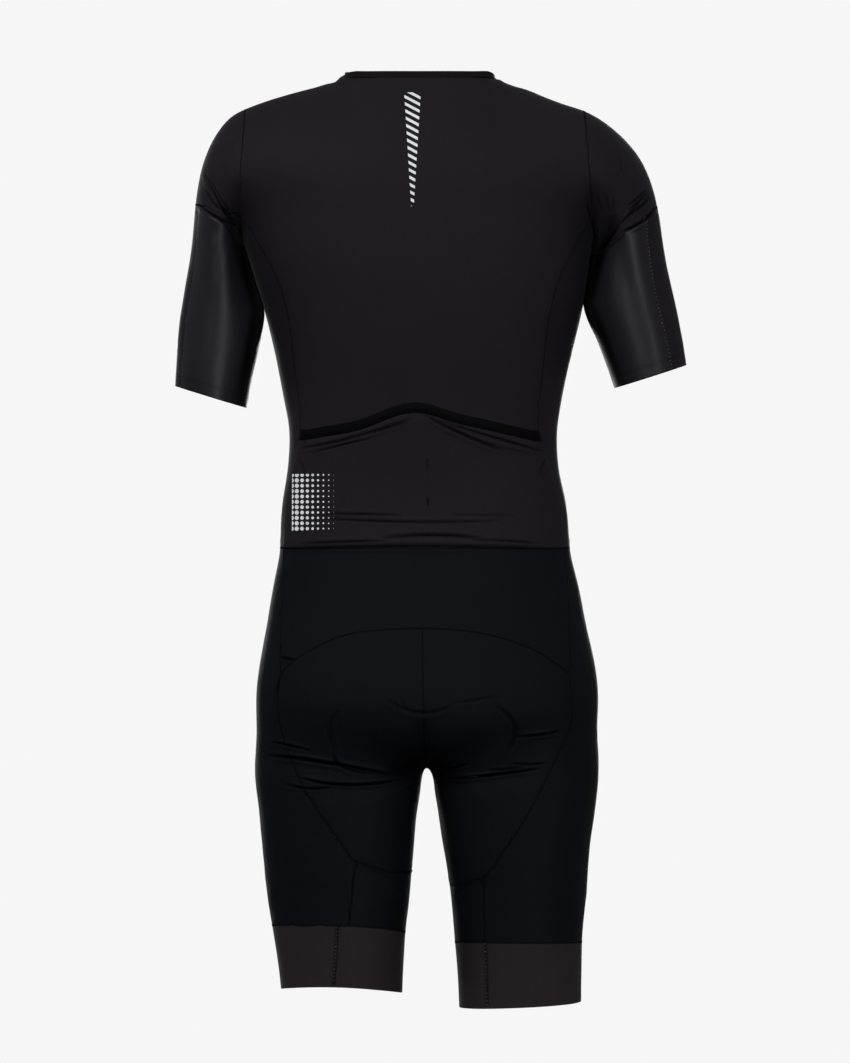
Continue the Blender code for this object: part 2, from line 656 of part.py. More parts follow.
def wall(name, grid, normals, thickness, material, lift=0.0, closed=False):
    """Closed solid between a grid and the same grid moved in by the cloth's thickness.

    `lift` raises the outer face off the grid. A closed grid repeats its first column last.
    """
    outer = inset(grid, normals, SEAM_HALF_GAP, closed) + normals * lift
    inner = inset(grid, normals, INNER_EDGE_BACK, closed) + normals * (lift - thickness)
    if closed:
        outer, inner = outer[:, :-1], inner[:, :-1]
    rows, columns = outer.shape[:2]
    bm = bmesh.new()
    skins = [[[bm.verts.new(p * MM) for p in row] for row in skin] for skin in (outer, inner)]
    spans = columns if closed else columns - 1
    for r in range(rows - 1):
        for c in range(spans):
            d = (c + 1) % columns
            first = np.linalg.norm(outer[r, c] - outer[r + 1, d])
            second = np.linalg.norm(outer[r, d] - outer[r + 1, c])
            for skin, turn in zip(skins, (1, -1)):
                a, b, e, f = skin[r][c], skin[r][d], skin[r + 1][d], skin[r + 1][c]
                halves = ((a, b, e), (a, e, f)) if first < second else ((a, b, f), (b, e, f))
                for corners in halves:
                    bm.faces.new(corners[::turn])
    rims = [[(r, c) for c in range(columns)] for r in (0, rows - 1)]
    if closed:
        rims = [rim + rim[:1] for rim in rims]
    else:
        rims += [[(r, c) for r in range(rows)] for c in (0, columns - 1)]
    for rim in rims:
        for (r, c), (s, d) in zip(rim, rim[1:]):
            a, b, e, f = skins[0][r][c], skins[0][s][d], skins[1][s][d], skins[1][r][c]
            bm.faces.new((a, b, e))
            bm.faces.new((a, e, f))
    return add_object(name, bm, material)


def cloth(name, grid, material, thickness=JERSEY, lift=0.0, closed=False):
    """Wall on the form."""
    return wall(name, grid, unit(slope(grid)), thickness, material, lift, closed)


def finish(name, colour, roughness, metallic=0.0):
    material = bpy.data.materials.new(name)
    material.use_nodes = True
    shader = material.node_tree.nodes["Principled BSDF"]
    shader.inputs["Base Color"].default_value = (*colour, 1)
    shader.inputs["Roughness"].default_value = roughness
    shader.inputs["Metallic"].default_value = metallic
    return material


JERSEY_KNIT = finish("jersey knit", (0.012, 0.011, 0.013), 0.6)
SATIN_KNIT = finish("satin knit", (0.015, 0.014, 0.016), 0.35)
SHORTS_KNIT = finish("shorts knit", (0.006, 0.007, 0.010), 0.55)
POWER_BAND = finish("power band", (0.016, 0.014, 0.016), 0.7)
ELASTIC = finish("elastic", (0.004, 0.004, 0.005), 0.6)
BINDING_KNIT = finish("binding knit", (0.014, 0.010, 0.010), 0.6)
FOAM = finish("foam", (0.03, 0.03, 0.035), 0.9)
ZIP_TAPE = finish("zip tape", (0.008, 0.008, 0.008), 0.8)
ZIP_NYLON = finish("zip nylon", (0.008, 0.008, 0.009), 0.4)
ZIP_METAL = finish("zip metal", (0.05, 0.05, 0.055), 0.4, 0.8)

SEAMS = {side: seams_of(side) for side in LEFT_RIGHT}


def build_top():
    left, right = SEAMS["left"], SEAMS["right"]
    neck = evenly(chain(left["neck back half"][::-1], right["neck back half"]), NECK_BACK_CELLS)
    waist_axis = (centre_x(WAIST), WAIST_AXIS_DEPTH)
    waist = evenly(level_turns(waist_axis, left["side back"][-1], right["side back"][-1]),
                   NECK_BACK_CELLS + 2 * SHOULDER_CELLS)
    back = fitted(chain(left["shoulder"][::-1], neck, right["shoulder"]), waist,
                  chain(left["armhole back"], left["side back"]),
                  chain(right["armhole back"], right["side back"]))
    cloth("back", back, JERSEY_KNIT)
    around = chain(left["neck front"][::-1], neck, right["neck front"])
    turns = np.degrees(np.arctan2(around[:, 0] - NECK_AXIS[0], NECK_AXIS[1] - around[:, 1]))
    binding = np.array([neck_point(turns, lift) for lift in BINDING_ROWS])
    cloth("neck_binding", binding, BINDING_KNIT, BINDING, BINDING_PROUD)
    for side, seam in SEAMS.items():
        cloth("side_" + side, fitted(seam["underarm"], seam["waist side"], seam["side back"],
                                     seam["side front"]), JERSEY_KNIT)
        front = fitted(chain(seam["neck front"][::-1], seam["shoulder"]), seam["waist front"],
                       seam["zip"], chain(seam["armhole front"][::-1], seam["side front"]))
        cloth("front_" + side, front, JERSEY_KNIT)
    return back, waist


def leg_front_grid(side):
    """Front leg panel, in two lengths that meet on a line from the bend of the inseam."""
    seam = SEAMS[side]
    inner = chain(seam["centre front"], seam["inseam"][::-1], seam["back leg"])
    split = HIP_CELLS + SEAT_CELLS - INSEAM_BEND_CELLS[side]
    bend, front = inner[split], seam["leg front"][split]
    turns = np.linspace(leg_turn(side, bend), leg_turn(side, front) + 360, SMOOTH_STEPS)
    line = evenly(leg_round(side, turns, np.linspace(bend[2], front[2], SMOOTH_STEPS)),
                  NECK_FRONT_CELLS + SHOULDER_CELLS)
    upper = fitted(seam["waist front"], line, inner[:split + 1], seam["leg front"][:split + 1])
    lower = fitted(line, seam["cuff top inner"], inner[split:], seam["leg front"][split:])
    return np.concatenate([upper, lower[1:]])


def build_shorts(waist):
    left, right = SEAMS["left"], SEAMS["right"]
    arc = through(ARC_SEAM)
    middle = centre_x(-580)
    cells = (NECK_BACK_CELLS + 2 * SHOULDER_CELLS) // 2
    halves = {"left": arc[arc[:, 0] <= middle], "right": arc[arc[:, 0] >= middle][::-1]}
    arcs = {}
    for side, half in halves.items():
        points = behind(half[:, 0], half[:, 1])
        ends = SEAMS[side]["seat"][0], SEAMS[side]["centre back"][0]
        arcs[side] = evenly(np.concatenate([[ends[0]], points[1:-1], [ends[1]]]), cells)
    cloth("yoke", fitted(waist, chain(arcs["left"], arcs["right"][::-1]), left["hip"], right["hip"]),
          SHORTS_KNIT)
    for side, seam in SEAMS.items():
        seat = fitted(arcs[side], seam["inseam"], seam["seat"], seam["centre back"])
        cloth("seat_" + side, seat, SHORTS_KNIT)
        outer = fitted(seam["waist side"], seam["cuff top outer"],
                       chain(seam["hip"], seam["seat"], seam["back leg"]), seam["leg front"])
        cloth("leg_outer_" + side, outer, SHORTS_KNIT)
        cloth("leg_front_" + side, leg_front_grid(side), SHORTS_KNIT)
        top = chain(seam["cuff top outer"][::-1], seam["cuff top inner"])
        hem = chain(seam["cuff hem outer"][::-1], seam["cuff hem inner"])
        rows = np.linspace(0, 1, CUFF_CELLS + 1)[:, None, None]
        cuff = press(top[None] * (1 - rows) + hem[None] * rows)
        cloth("cuff_" + side, cuff, POWER_BAND, GRIPPER, closed=True)


def sleeve_grid(side):
    """Rings from the armhole to the hem, each through the armhole's own columns."""
    seam = SEAMS[side]
    loop = chain(seam["armhole back"], seam["underarm"], seam["armhole front"])
    sign = LEFT_RIGHT[side]
    stations = [(index, *row) for index, row in enumerate(SLEEVE[side])]

    def ring(place, turns):
        ox, oz, ix, iz, back, front = (value_at(stations, column, place) for column in range(1, 7))
        across, up = np.cos(turns) * (ox - ix) / 2, np.cos(turns) * (oz - iz) / 2
        wave = np.sin(turns)
        deep = np.where(wave > 0, SLEEVE_DEPTH_CENTRE - back, front - SLEEVE_DEPTH_CENTRE)
        return np.stack([(ox + ix) / 2 + across, SLEEVE_DEPTH_CENTRE - deep * wave,
                         (oz + iz) / 2 + up], axis=-1)

    top = stations[0]
    middle_z, half = (top[2] + top[4]) / 2, (top[2] - top[4]) / 2
    rise = (loop[:, 2] - middle_z) / half
    deep = -(loop[:, 1] - SLEEVE_DEPTH_CENTRE) / ((top[6] - top[5]) / 2)
    turns = np.unwrap(np.arctan2(deep, rise))
    places = np.concatenate([np.linspace(0, CAP_STATIONS, CAP_CELLS + 1),
                             np.linspace(CAP_STATIONS, len(stations) - 1, SLEEVE_CELLS + 1)[1:]])
    offset = loop + np.array([sign * ARMHOLE_STEP_OUT, 0, 0]) - ring(0, turns)
    rows = []
    for place in places:
        share = np.clip(1 - place / CAP_STATIONS, 0, 1)
        rows.append(ring(place, turns) + offset * share * share * (3 - 2 * share))
    grid = np.array(rows)
    grid[:, -1] = grid[:, 0]
    return grid


def build_sleeves():
    for side in LEFT_RIGHT:
        grid = sleeve_grid(side)
        normals = grid_normals(grid, closed=True)
        centre = grid[:, :-1].mean(axis=1)[:, None]
        if np.sum(normals * (grid - centre)) < 0:
            normals = -normals
        cap, lower = grid[:CAP_CELLS + 1], grid[CAP_CELLS:]
        wall("cap_" + side, cap, normals[:CAP_CELLS + 1], JERSEY, JERSEY_KNIT, closed=True)
        lower_normals = normals[CAP_CELLS:]
        seam_a, seam_b = OUTER_SLEEVE_SEAM[side], ARMHOLE_CELLS + UNDERARM_CELLS // 2
        wall("sleeve_back_" + side, lower[:, seam_a:seam_b + 1], lower_normals[:, seam_a:seam_b + 1],
             JERSEY, SATIN_KNIT)
        front = np.concatenate([lower[:, seam_b:-1], lower[:, :seam_a + 1]], axis=1)
        front_normals = np.concatenate([lower_normals[:, seam_b:-1], lower_normals[:, :seam_a + 1]],
                                       axis=1)
        wall("sleeve_front_" + side, front, front_normals, JERSEY, JERSEY_KNIT)


def build_pocket(back):
    """Pocket layer over the lower back with its elastic band, made from the back's columns."""
    controls = through([(x, z) for x, z in POCKET_EDGE])

    def down_columns(tops, bottoms, cells):
        grid = np.empty((cells + 1, back.shape[1], 3))
        for c in range(back.shape[1]):
            column = back[::-1, c]
            heights = np.linspace(tops[c], bottoms[c], cells + 1)
            for axis in range(3):
                grid[:, c, axis] = np.interp(heights, column[:, 2], column[:, axis])
        return grid

    edge = np.full(back.shape[1], POCKET_EDGE[0][1])
    for _ in range(8):
        x = down_columns(edge, edge, 1)[0, :, 0]
        edge = np.interp(x, controls[:, 0], controls[:, 1])
    pocket = down_columns(edge, back[-1, :, 2], POCKET_CELLS)
    cloth("pocket_panel", pocket, JERSEY_KNIT, POCKET_CLOTH, LAYER_GAP + POCKET_CLOTH)
    band = down_columns(edge + BAND_HEIGHT, edge, 2)
    cloth("pocket_band", band, ELASTIC, BAND_ELASTIC, LAYER_GAP + BAND_ELASTIC)


def build_pad():
    halves = {}
    for side in LEFT_RIGHT:
        top = through(PAD_TOP[side])
        top = behind(top[:, 0], top[:, 1])
        rows = through(PAD_SIDE[side])
        edge = behind(rows[:, 0], rows[:, 1])
        turns = through([(leg_turn(side, edge[-1]), edge[-1][2]), *PAD_THIGH[side],
                         PAD_FRONT_EDGE[side]])
        edge = chain(edge, leg_round(side, turns[:, 0], turns[:, 1]))
        under = centre_under(0, PAD_UNDER_TURN)
        middle = evenly(np.concatenate([top[:1], under[under[:, 2] < top[0][2]]]), PAD_CELLS)
        top = evenly(top, PAD_HALF_CELLS)
        edge = evenly(np.concatenate([top[-1:], edge[1:]]), PAD_CELLS)
        front = press(np.linspace(middle[-1], edge[-1], PAD_HALF_CELLS + 1))
        halves[side] = fitted(top, front, middle, edge)
    grid = np.concatenate([halves["left"][:, ::-1], halves["right"][:, 1:]], axis=1)
    normals = unit(slope(grid))
    for _ in range(4):
        padded = np.pad(normals, ((1, 1), (1, 1), (0, 0)), mode="edge")
        normals = unit(padded[:-2, 1:-1] + padded[2:, 1:-1] + padded[1:-1, :-2] + padded[1:-1, 2:])
    wall("pad", grid, normals, PAD, FOAM, -PAD_DEPTH)


def build_zip_strips():
    for side, sign in LEFT_RIGHT.items():
        heights = SEAMS[side]["zip"][:, 2]
        tape = np.stack([ahead(centre_x(heights) + sign * across, heights)
                         for across in TAPE_COLUMNS], axis=1)
        cloth("zip_tape_" + side, tape, ZIP_TAPE, TAPE, -TAPE_DEPTH)
    heights = SEAMS["left"]["zip"][:, 2]
    coil = np.stack([ahead(centre_x(heights) + across, heights)
                     for across in (-COIL_HALF_WIDTH, COIL_HALF_WIDTH)], axis=1)
    cloth("zip_coil", coil, ZIP_NYLON, COIL_THICKNESS, COIL_PROUD)


# ---------------------------------------------------------------- slider and pull

def box(bm, size, centre):
    made = bmesh.ops.create_cube(bm, size=1)["verts"]
    bmesh.ops.scale(bm, vec=size, verts=made)
    bmesh.ops.translate(bm, vec=centre, verts=made)
    return made


def rod(bm, radius, width, centre):
    """Cylinder along X."""
    turn = Matrix.Translation(centre) @ Matrix.Rotation(math.pi / 2, 4, "Y")
    return bmesh.ops.create_cone(bm, cap_ends=True, segments=ROUND_SIDES, radius1=radius,
                                 radius2=radius, depth=width, matrix=turn)["verts"]


def solid(name, material, place, make):
    """Object whose mesh `make` fills, in millimetres, in the slider's own frame."""
    bm = bmesh.new()
    make(bm)
    bmesh.ops.transform(bm, matrix=place @ Matrix.Scale(MM, 4), verts=bm.verts)
    return add_object(name, bm, material)


def cut(piece, tool, operation):
    modifier = piece.modifiers.new(tool.name, "BOOLEAN")
    modifier.object = tool
    modifier.operation = operation
    tool.hide_render = True
    tool.display_type = "WIRE"


def build_slider():
    """Slider plate with two lugs and a pin, and the pull tab that swings on the pin."""
    at = ahead([centre_x(SLIDER_HEIGHT)], np.array([float(SLIDER_HEIGHT)]))[0]
    out = unit(slope(at))
    along = unit(np.cross(out, (1.0, 0, 0)))        # down the chest
    across = np.cross(along, out)
    plate_top = COIL_PROUD + SLIDER_LIFT + SLIDER_PLATE[2]
    pin = plate_top + PIN_UP
    place = Matrix.Translation(Vector(at * MM)) @ Matrix(np.column_stack([across, along, out])).to_4x4()

    def plate(bm):
        made = box(bm, SLIDER_PLATE, (0, 0, plate_top - SLIDER_PLATE[2] / 2))
        edges = list({edge for vert in made for edge in vert.link_edges})
        bmesh.ops.bevel(bm, geom=edges, offset=0.6, segments=2, profile=0.5, affect="EDGES")

    def lug(side):
        def make(bm):
            x = side * (LUG_APART + LUG[0]) / 2
            made = box(bm, LUG, (x, 0, plate_top - LUG_SINK + LUG[2] / 2))
            edges = list({edge for vert in made for edge in vert.link_edges})
            bmesh.ops.bevel(bm, geom=edges, offset=0.3, segments=1, profile=0.5, affect="EDGES")
        return make

    slider = solid("zip_slider", ZIP_METAL, place, plate)
    for side in (-1, 1):
        cut(slider, solid(f"lug_{side + 1}", ZIP_METAL, place, lug(side)), "UNION")
    cut(slider, solid("slider_pin", ZIP_METAL, place,
                      lambda bm: rod(bm, PIN_RADIUS, LUG_APART + LUG[0], (0, 0, pin))), "UNION")

    hang = place @ Matrix.Translation((0, 0, pin * MM)) @ Matrix.Rotation(-math.radians(PULL_TILT), 4, "X")

    def tab(bm):
        made = box(bm, PULL_PLATE, (0, PULL_START + PULL_PLATE[1] / 2, 0))
        corners = [edge for edge in bm.edges
                   if abs(edge.verts[0].co.z - edge.verts[1].co.z) > PULL_PLATE[2] / 2]
        bmesh.ops.bevel(bm, geom=corners, offset=1.8, segments=4, profile=0.5, affect="EDGES")

    pull = solid("zip_pull", ZIP_METAL, hang, tab)
    neck_long = PULL_START + 2
    cut(pull, solid("pull_neck", ZIP_METAL, hang,
                    lambda bm: box(bm, (EYE_WIDTH * 0.9, neck_long, PULL_PLATE[2] * 0.9),
                                   (0, neck_long / 2, 0))), "UNION")
    cut(pull, solid("pull_eye", ZIP_METAL, hang,
                    lambda bm: rod(bm, EYE_OUTER, EYE_WIDTH, (0, 0, 0))), "UNION")
    cut(pull, solid("pull_hole", ZIP_METAL, hang,
                    lambda bm: rod(bm, EYE_INNER, 2 * EYE_WIDTH, (0, 0, 0))), "DIFFERENCE")


back_grid, waist_back = build_top()
build_shorts(waist_back)
build_sleeves()
build_pocket(back_grid)
build_pad()
build_zip_strips()
build_slider()
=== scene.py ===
"""Looks of a short-sleeved triathlon suit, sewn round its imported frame.

Everything is in metres in the frame's own axes: +Z up, the suit's back towards -Y, its
wearer's right at +X, and the origin at the back of the neck. Sizes whose names end in
_mm, and the tables of creases and prints, are in millimetres.
"""
import math

import bmesh
import bpy
import numpy as np
from mathutils import Matrix, Vector, noise
from mathutils.bvhtree import BVHTree
from mathutils.kdtree import KDTree


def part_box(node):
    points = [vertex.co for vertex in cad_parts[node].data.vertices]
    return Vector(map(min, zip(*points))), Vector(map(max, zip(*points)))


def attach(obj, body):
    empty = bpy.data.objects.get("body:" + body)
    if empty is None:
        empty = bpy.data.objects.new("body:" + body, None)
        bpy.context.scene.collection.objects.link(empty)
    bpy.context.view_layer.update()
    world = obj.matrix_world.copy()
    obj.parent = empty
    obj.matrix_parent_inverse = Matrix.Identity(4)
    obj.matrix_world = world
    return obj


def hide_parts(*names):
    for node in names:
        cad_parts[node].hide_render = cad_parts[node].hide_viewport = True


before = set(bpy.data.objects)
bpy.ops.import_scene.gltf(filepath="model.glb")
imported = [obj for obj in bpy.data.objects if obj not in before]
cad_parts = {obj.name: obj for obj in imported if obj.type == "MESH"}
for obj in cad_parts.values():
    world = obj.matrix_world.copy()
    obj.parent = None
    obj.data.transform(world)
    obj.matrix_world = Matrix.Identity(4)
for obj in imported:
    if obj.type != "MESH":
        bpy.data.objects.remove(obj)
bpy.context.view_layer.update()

MM = 0.001

# ------------------------------------------------------------------ Studio
# A pale seamless studio: a white floor well under the hems and a lit white surround. The
# cloth itself is lit by a dim room, a tall soft box high on the left, a weaker one low by
# the camera, one low at either side, which leaves no streak, and two before the chest.

FLOOR_HEIGHT = -1.55            # a wearer of this size stands here
FLOOR_RADIUS = 6.0
SURROUND_RADIUS = 22.0
CAMERA_DISTANCE = 8.0
FRAME_HEIGHT = 1.116            # height of the suit's own plane that the view takes in
FRAME_MIDDLE = (0.005, -0.479)
SENSOR = 36.0
WHITE = (1, 1, 1, 1)
BLACK = (0, 0, 0, 1)


def fill(node, inputs):
    """Gives each named socket its value, or a link from another node's socket."""
    for name, value in inputs.items():
        if isinstance(value, bpy.types.NodeSocket):
            node.id_data.links.new(value, node.inputs[name])
        else:
            node.inputs[name].default_value = value


def add(tree, kind, inputs=None, **settings):
    """Adds a shader node with its settings, and fills its sockets."""
    node = tree.nodes.new("ShaderNode" + kind)
    for name, value in settings.items():
        setattr(node, name, value)
    fill(node, inputs or {})
    return node


def shaded(name):
    """A new material that works by nodes, and its shader."""
    made = bpy.data.materials.new(name)
    made.use_nodes = True
    return made, made.node_tree.nodes["Principled BSDF"]


def srgb(code):
    """Linear colour of an sRGB hex code."""
    parts = [int(code[i:i + 2], 16) / 255 for i in (1, 3, 5)]
    return (*[c / 12.92 if c <= 0.04045 else ((c + 0.055) / 1.055) ** 2.4 for c in parts], 1)


def meshed(name, bm, *materials):
    """Ends a bmesh as a mesh with its materials."""
    mesh = bpy.data.meshes.new(name)
    bm.to_mesh(mesh)
    bm.free()
    for material in materials:
        mesh.materials.append(material)
    return mesh


scene = bpy.context.scene
scene.view_settings.view_transform = "Standard"
world = bpy.data.worlds.new("dim room")
scene.world = world
world.use_nodes = True
tree = world.node_tree
height = add(tree, "SeparateXYZ", {"Vector": add(tree, "TexCoord").outputs["Generated"]}).outputs["Z"]
amount = add(tree, "MapRange", {"Value": height, "From Min": -0.7, "From Max": 0.5})
room = add(tree, "Mix", {"Factor": amount.outputs["Result"], "A": srgb("#484848"),
                         "B": srgb("#A6A6A6")}, data_type="RGBA")
fill(tree.nodes["Background"], {"Color": room.outputs["Result"]})

paint, shader = shaded("studio floor, matt paint")
fill(shader, {"Base Color": srgb("#F4F4F4"), "Roughness": 0.9, "Emission Color": srgb("#F4F4F4"),
              "Emission Strength": 0.5})
bm = bmesh.new()
bmesh.ops.create_circle(bm, cap_ends=True, segments=96, radius=FLOOR_RADIUS)
bmesh.ops.translate(bm, verts=bm.verts, vec=(0, 0, FLOOR_HEIGHT))
floor = bpy.data.objects.new("floor", meshed("floor", bm, paint))
scene.collection.objects.link(floor)

glow, shader = shaded("lit white surround")
fill(shader, {"Base Color": BLACK, "Specular IOR Level": 0.0, "Emission Color": srgb("#F6F6F6"),
              "Emission Strength": 1.0})
bm = bmesh.new()
bmesh.ops.create_icosphere(bm, subdivisions=4, radius=SURROUND_RADIUS)
surround = bpy.data.objects.new("surround", meshed("surround", bm, glow))
scene.collection.objects.link(surround)
# Flags keep the white off the black cloth, as black screens do in a studio.
for stage in (floor, surround):
    stage.visible_diffuse = stage.visible_glossy = False
surround.visible_shadow = False

SOFT_BOXES = (  # name, place, aim, width, height, watts
    ("key_left", (-0.95, -2.2, 1.5), (0, 0, -0.2), 1.1, 1.6, 65),
    ("fill_camera", (1.2, -2.8, -1.2), (0, 0, -0.9), 0.9, 1.4, 42),
    ("side_left", (-2.4, 0.5, -1.1), (0, 0, -0.8), 0.6, 1.4, 21),
    ("side_right", (2.4, 0.5, -1.1), (0, 0, -0.8), 0.6, 1.4, 15),
    ("front_key", (0.5, 3.7, 0.0), (0, 0, -0.4), 1.2, 1.8, 95),
    ("front_fill", (-1.3, 3.5, -0.2), (0, 0, -0.4), 0.7, 1.6, 25),
)
for name, place, aim, width, height, watts in SOFT_BOXES:
    light = bpy.data.lights.new(name, "AREA")
    light.shape = "RECTANGLE"
    light.size, light.size_y, light.energy = width, height, watts
    lamp = bpy.data.objects.new(name, light)
    lamp.location = place
    lamp.rotation_euler = (Vector(aim) - Vector(place)).to_track_quat("-Z", "Y").to_euler()
    lamp.visible_glossy = not name.startswith("side")
    scene.collection.objects.link(lamp)

camera = bpy.data.objects.new("camera", bpy.data.cameras.new("camera"))
camera.data.sensor_width = SENSOR
camera.data.lens = SENSOR * CAMERA_DISTANCE / FRAME_HEIGHT
camera.data.clip_end = 60
camera.location = (FRAME_MIDDLE[0], -CAMERA_DISTANCE, FRAME_MIDDLE[1])
camera.rotation_euler = (math.pi / 2, 0, 0)
scene.collection.objects.link(camera)
scene.camera = camera

# ------------------------------------------------------------------ The sewn shell
# The cloth panels meet edge to edge, so they are shaped as one skin: the outer faces of
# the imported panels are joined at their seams, smoothed, and creased together. Each panel
# is cut out of that skin afterwards.

PANELS = ("back", "side_left", "side_right", "front_left", "front_right",
          "cap_left", "cap_right", "sleeve_back_left", "sleeve_back_right",
          "sleeve_front_left", "sleeve_front_right", "yoke", "seat_left", "seat_right",
          "leg_outer_left", "leg_outer_right", "leg_front_left", "leg_front_right",
          "cuff_left", "cuff_right")
WALL_MM = {"cuff_left": 1.5, "cuff_right": 1.5, "pocket_band": 1.8, "neck_binding": 2.2}
PLAIN_WALL_MM = 1.2
SEAM_REACH_MM = 0.9             # panels' edges closer than this are one seam
RIM_SHARE = 1.18                # a face with an edge shorter than this many walls is on a panel's rim
SMOOTH_LEVELS = 2
SETTLING_PASSES = 3             # smoothing draws a form in, so its own points are moved out again
SETTLING_SHARE = 0.9            # by this share of what is missing, so many times


def packed(node):
    """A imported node's own mesh with its corners joined, as a new bmesh."""
    bm = bmesh.new()
    bm.from_mesh(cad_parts[node].data)
    bmesh.ops.remove_doubles(bm, verts=bm.verts, dist=1e-6)
    return bm


def squared(bm):
    """The same bmesh with its triangles joined into squares."""
    bmesh.ops.join_triangles(bm, faces=bm.faces, angle_face_threshold=math.pi,
                             angle_shape_threshold=math.pi)
    return bm


def outer_skin(name):
    """The outer face of a packed panel, made of squares."""
    bm = packed(name)
    thin = WALL_MM.get(name, PLAIN_WALL_MM) * RIM_SHARE * MM
    rim = [face for face in bm.faces if min(edge.calc_length() for edge in face.edges) < thin]
    bmesh.ops.delete(bm, geom=rim, context="FACES")
    bm.faces.ensure_lookup_table()
    first, todo = set(), [bm.faces[0]]
    while todo:
        face = todo.pop()
        if face not in first:
            first.add(face)
            todo += [other for edge in face.edges for other in edge.link_faces]
    second = [face for face in bm.faces if face not in first]
    inner = min(first, second, key=lambda faces: sum(face.calc_area() for face in faces))
    bmesh.ops.delete(bm, geom=list(inner), context="FACES")
    return squared(bm)


def evaluated(piece):
    """The mesh that an object's modifiers or curve settings give."""
    return bpy.data.meshes.new_from_object(piece.evaluated_get(bpy.context.evaluated_depsgraph_get()))


def smoothed(mesh):
    """A finer copy of the mesh, rounded through its own points."""
    piece = bpy.data.objects.new("smoothing", mesh)
    scene.collection.objects.link(piece)
    modifier = piece.modifiers.new("smooth", "SUBSURF")
    modifier.levels = modifier.render_levels = SMOOTH_LEVELS
    modifier.boundary_smooth = "PRESERVE_CORNERS"
    goal = points_of(mesh)
    control = goal.copy()
    for _ in range(SETTLING_PASSES):
        control += SETTLING_SHARE * (goal - points_of(evaluated(piece))[:len(goal)])
        mesh.vertices.foreach_set("co", control.ravel())
        mesh.update()
        bpy.context.view_layer.update()
    fine = evaluated(piece)
    bpy.data.objects.remove(piece)
    return fine


def points_of(mesh):
    points = np.empty(len(mesh.vertices) * 3, np.float32)
    mesh.vertices.foreach_get("co", points)
    return points.reshape(-1, 3).astype(float)


def normals_of(mesh):
    normals = np.empty(len(mesh.vertices) * 3, np.float32)
    mesh.vertex_normals.foreach_get("vector", normals)
    return normals.reshape(-1, 3).astype(float)


sewn = bmesh.new()
for number, name in enumerate(PANELS):
    skin = outer_skin(name)
    for face in skin.faces:
        face.material_index = number
    part = meshed(name, skin)
    sewn.from_mesh(part)
    bpy.data.meshes.remove(part)
bmesh.ops.remove_doubles(sewn, verts=sewn.verts, dist=SEAM_REACH_MM * MM)
shell = smoothed(meshed("sewn", sewn, *[bpy.data.materials.new("cut " + name) for name in PANELS]))

# Each sleeve presses against the body below the armpit, and its inner fold laps over the
# body's edge there: how far the fold swells towards the body at each height.
ARMPIT_FOLDS = {  # height and swell, from the hem's side up
    "left": ((-286, 0), (-270, 2.4), (-259, 5.0), (-251, 7.0), (-243, 8.2), (-232, 8.7), (-220, 8.6),
             (-210, 8.2), (-200, 7.7), (-190, 6.8), (-180, 5.7), (-166, 3.0), (-158, 0)),
    "right": ((-274, 0), (-258, 2.4), (-247, 5.0), (-239, 7.2), (-231, 7.5), (-222, 7.1), (-212, 6.9),
              (-200, 7.1), (-190, 7.0), (-180, 7.2), (-173, 6.4), (-166, 3.6), (-156, 0)),
}
ARMPIT_FOLD_DEPTH = -14         # how far behind the middle the fold's crest lies
ARMPIT_FOLD_WIDTH = 15
ARMPIT_FOLD_REACH = 42          # how far the swelling runs out over the sleeve
ARMPIT_STEP = 4
ARMPIT_LEVELS = range(-280, -150, ARMPIT_STEP)      # the sleeve's inner edge is looked up for each
SLEEVE_PANELS = ("cap", "sleeve")
CAP_JOIN_NUDGE = ((-220, -158), 13, 42)     # place, rise and reach: the left cap is cut higher behind
TURNS_AWAY = 0.2                # cloth whose normal leans forward more than this isn't nudged


def nudge_seam(mesh, place, rise, reach):
    """Slides part of a seam up over the cloth's own surface, on the side that faces back."""
    points, normals = points_of(mesh) / MM, normals_of(mesh)
    surface = BVHTree.FromPolygons(points.tolist(), [face.vertices[:] for face in mesh.polygons])
    away = np.hypot(points[:, 0] - place[0], points[:, 2] - place[1]) / reach
    for n in np.flatnonzero((away < 1) & (normals[:, 1] < TURNS_AWAY)):
        points[n, 2] += rise * (1 - away[n] ** 2) ** 2 * min(1, TURNS_AWAY - normals[n, 1])
        points[n] = surface.find_nearest(Vector(points[n]))[0]
    mesh.vertices.foreach_set("co", (points * MM).ravel())
    mesh.update()


def bell(place, middle=0, reach=1):
    """1 at the middle, and fading evenly to either side."""
    return np.exp(-((place - middle) / reach) ** 2)


def gently(share):
    """A share from 0 to 1 with a level start and end."""
    return share * share * (3 - 2 * share)


def fold_armpits(mesh):
    """Swells the inner back of each sleeve towards the body."""
    points = points_of(mesh) / MM
    for side, outward in (("left", -1), ("right", 1)):
        numbers = [number for number, name in enumerate(PANELS)
                   if name.startswith(SLEEVE_PANELS) and name.endswith(side)]
        sleeve = sorted({v for face in mesh.polygons if face.material_index in numbers
                         for v in face.vertices})
        rows = np.array(ARMPIT_FOLDS[side])
        x, y, z = points[sleeve].T
        swell = np.interp(z, rows[:, 0], rows[:, 1], left=0, right=0)
        inner = np.full(len(x), np.inf)
        for low in ARMPIT_LEVELS:
            level = (z >= low) & (z < low + ARMPIT_STEP)
            if level.any():
                inner[level] = (x[level] * outward).min()
        inside = gently(np.clip(1 - (x * outward - inner) / ARMPIT_FOLD_REACH, 0, 1))
        crest = bell(y, ARMPIT_FOLD_DEPTH, ARMPIT_FOLD_WIDTH)
        points[sleeve, 0] -= outward * swell * crest * inside
    mesh.vertices.foreach_set("co", (points * MM).ravel())
    mesh.update()


nudge_seam(shell, *CAP_JOIN_NUDGE)
fold_armpits(shell)

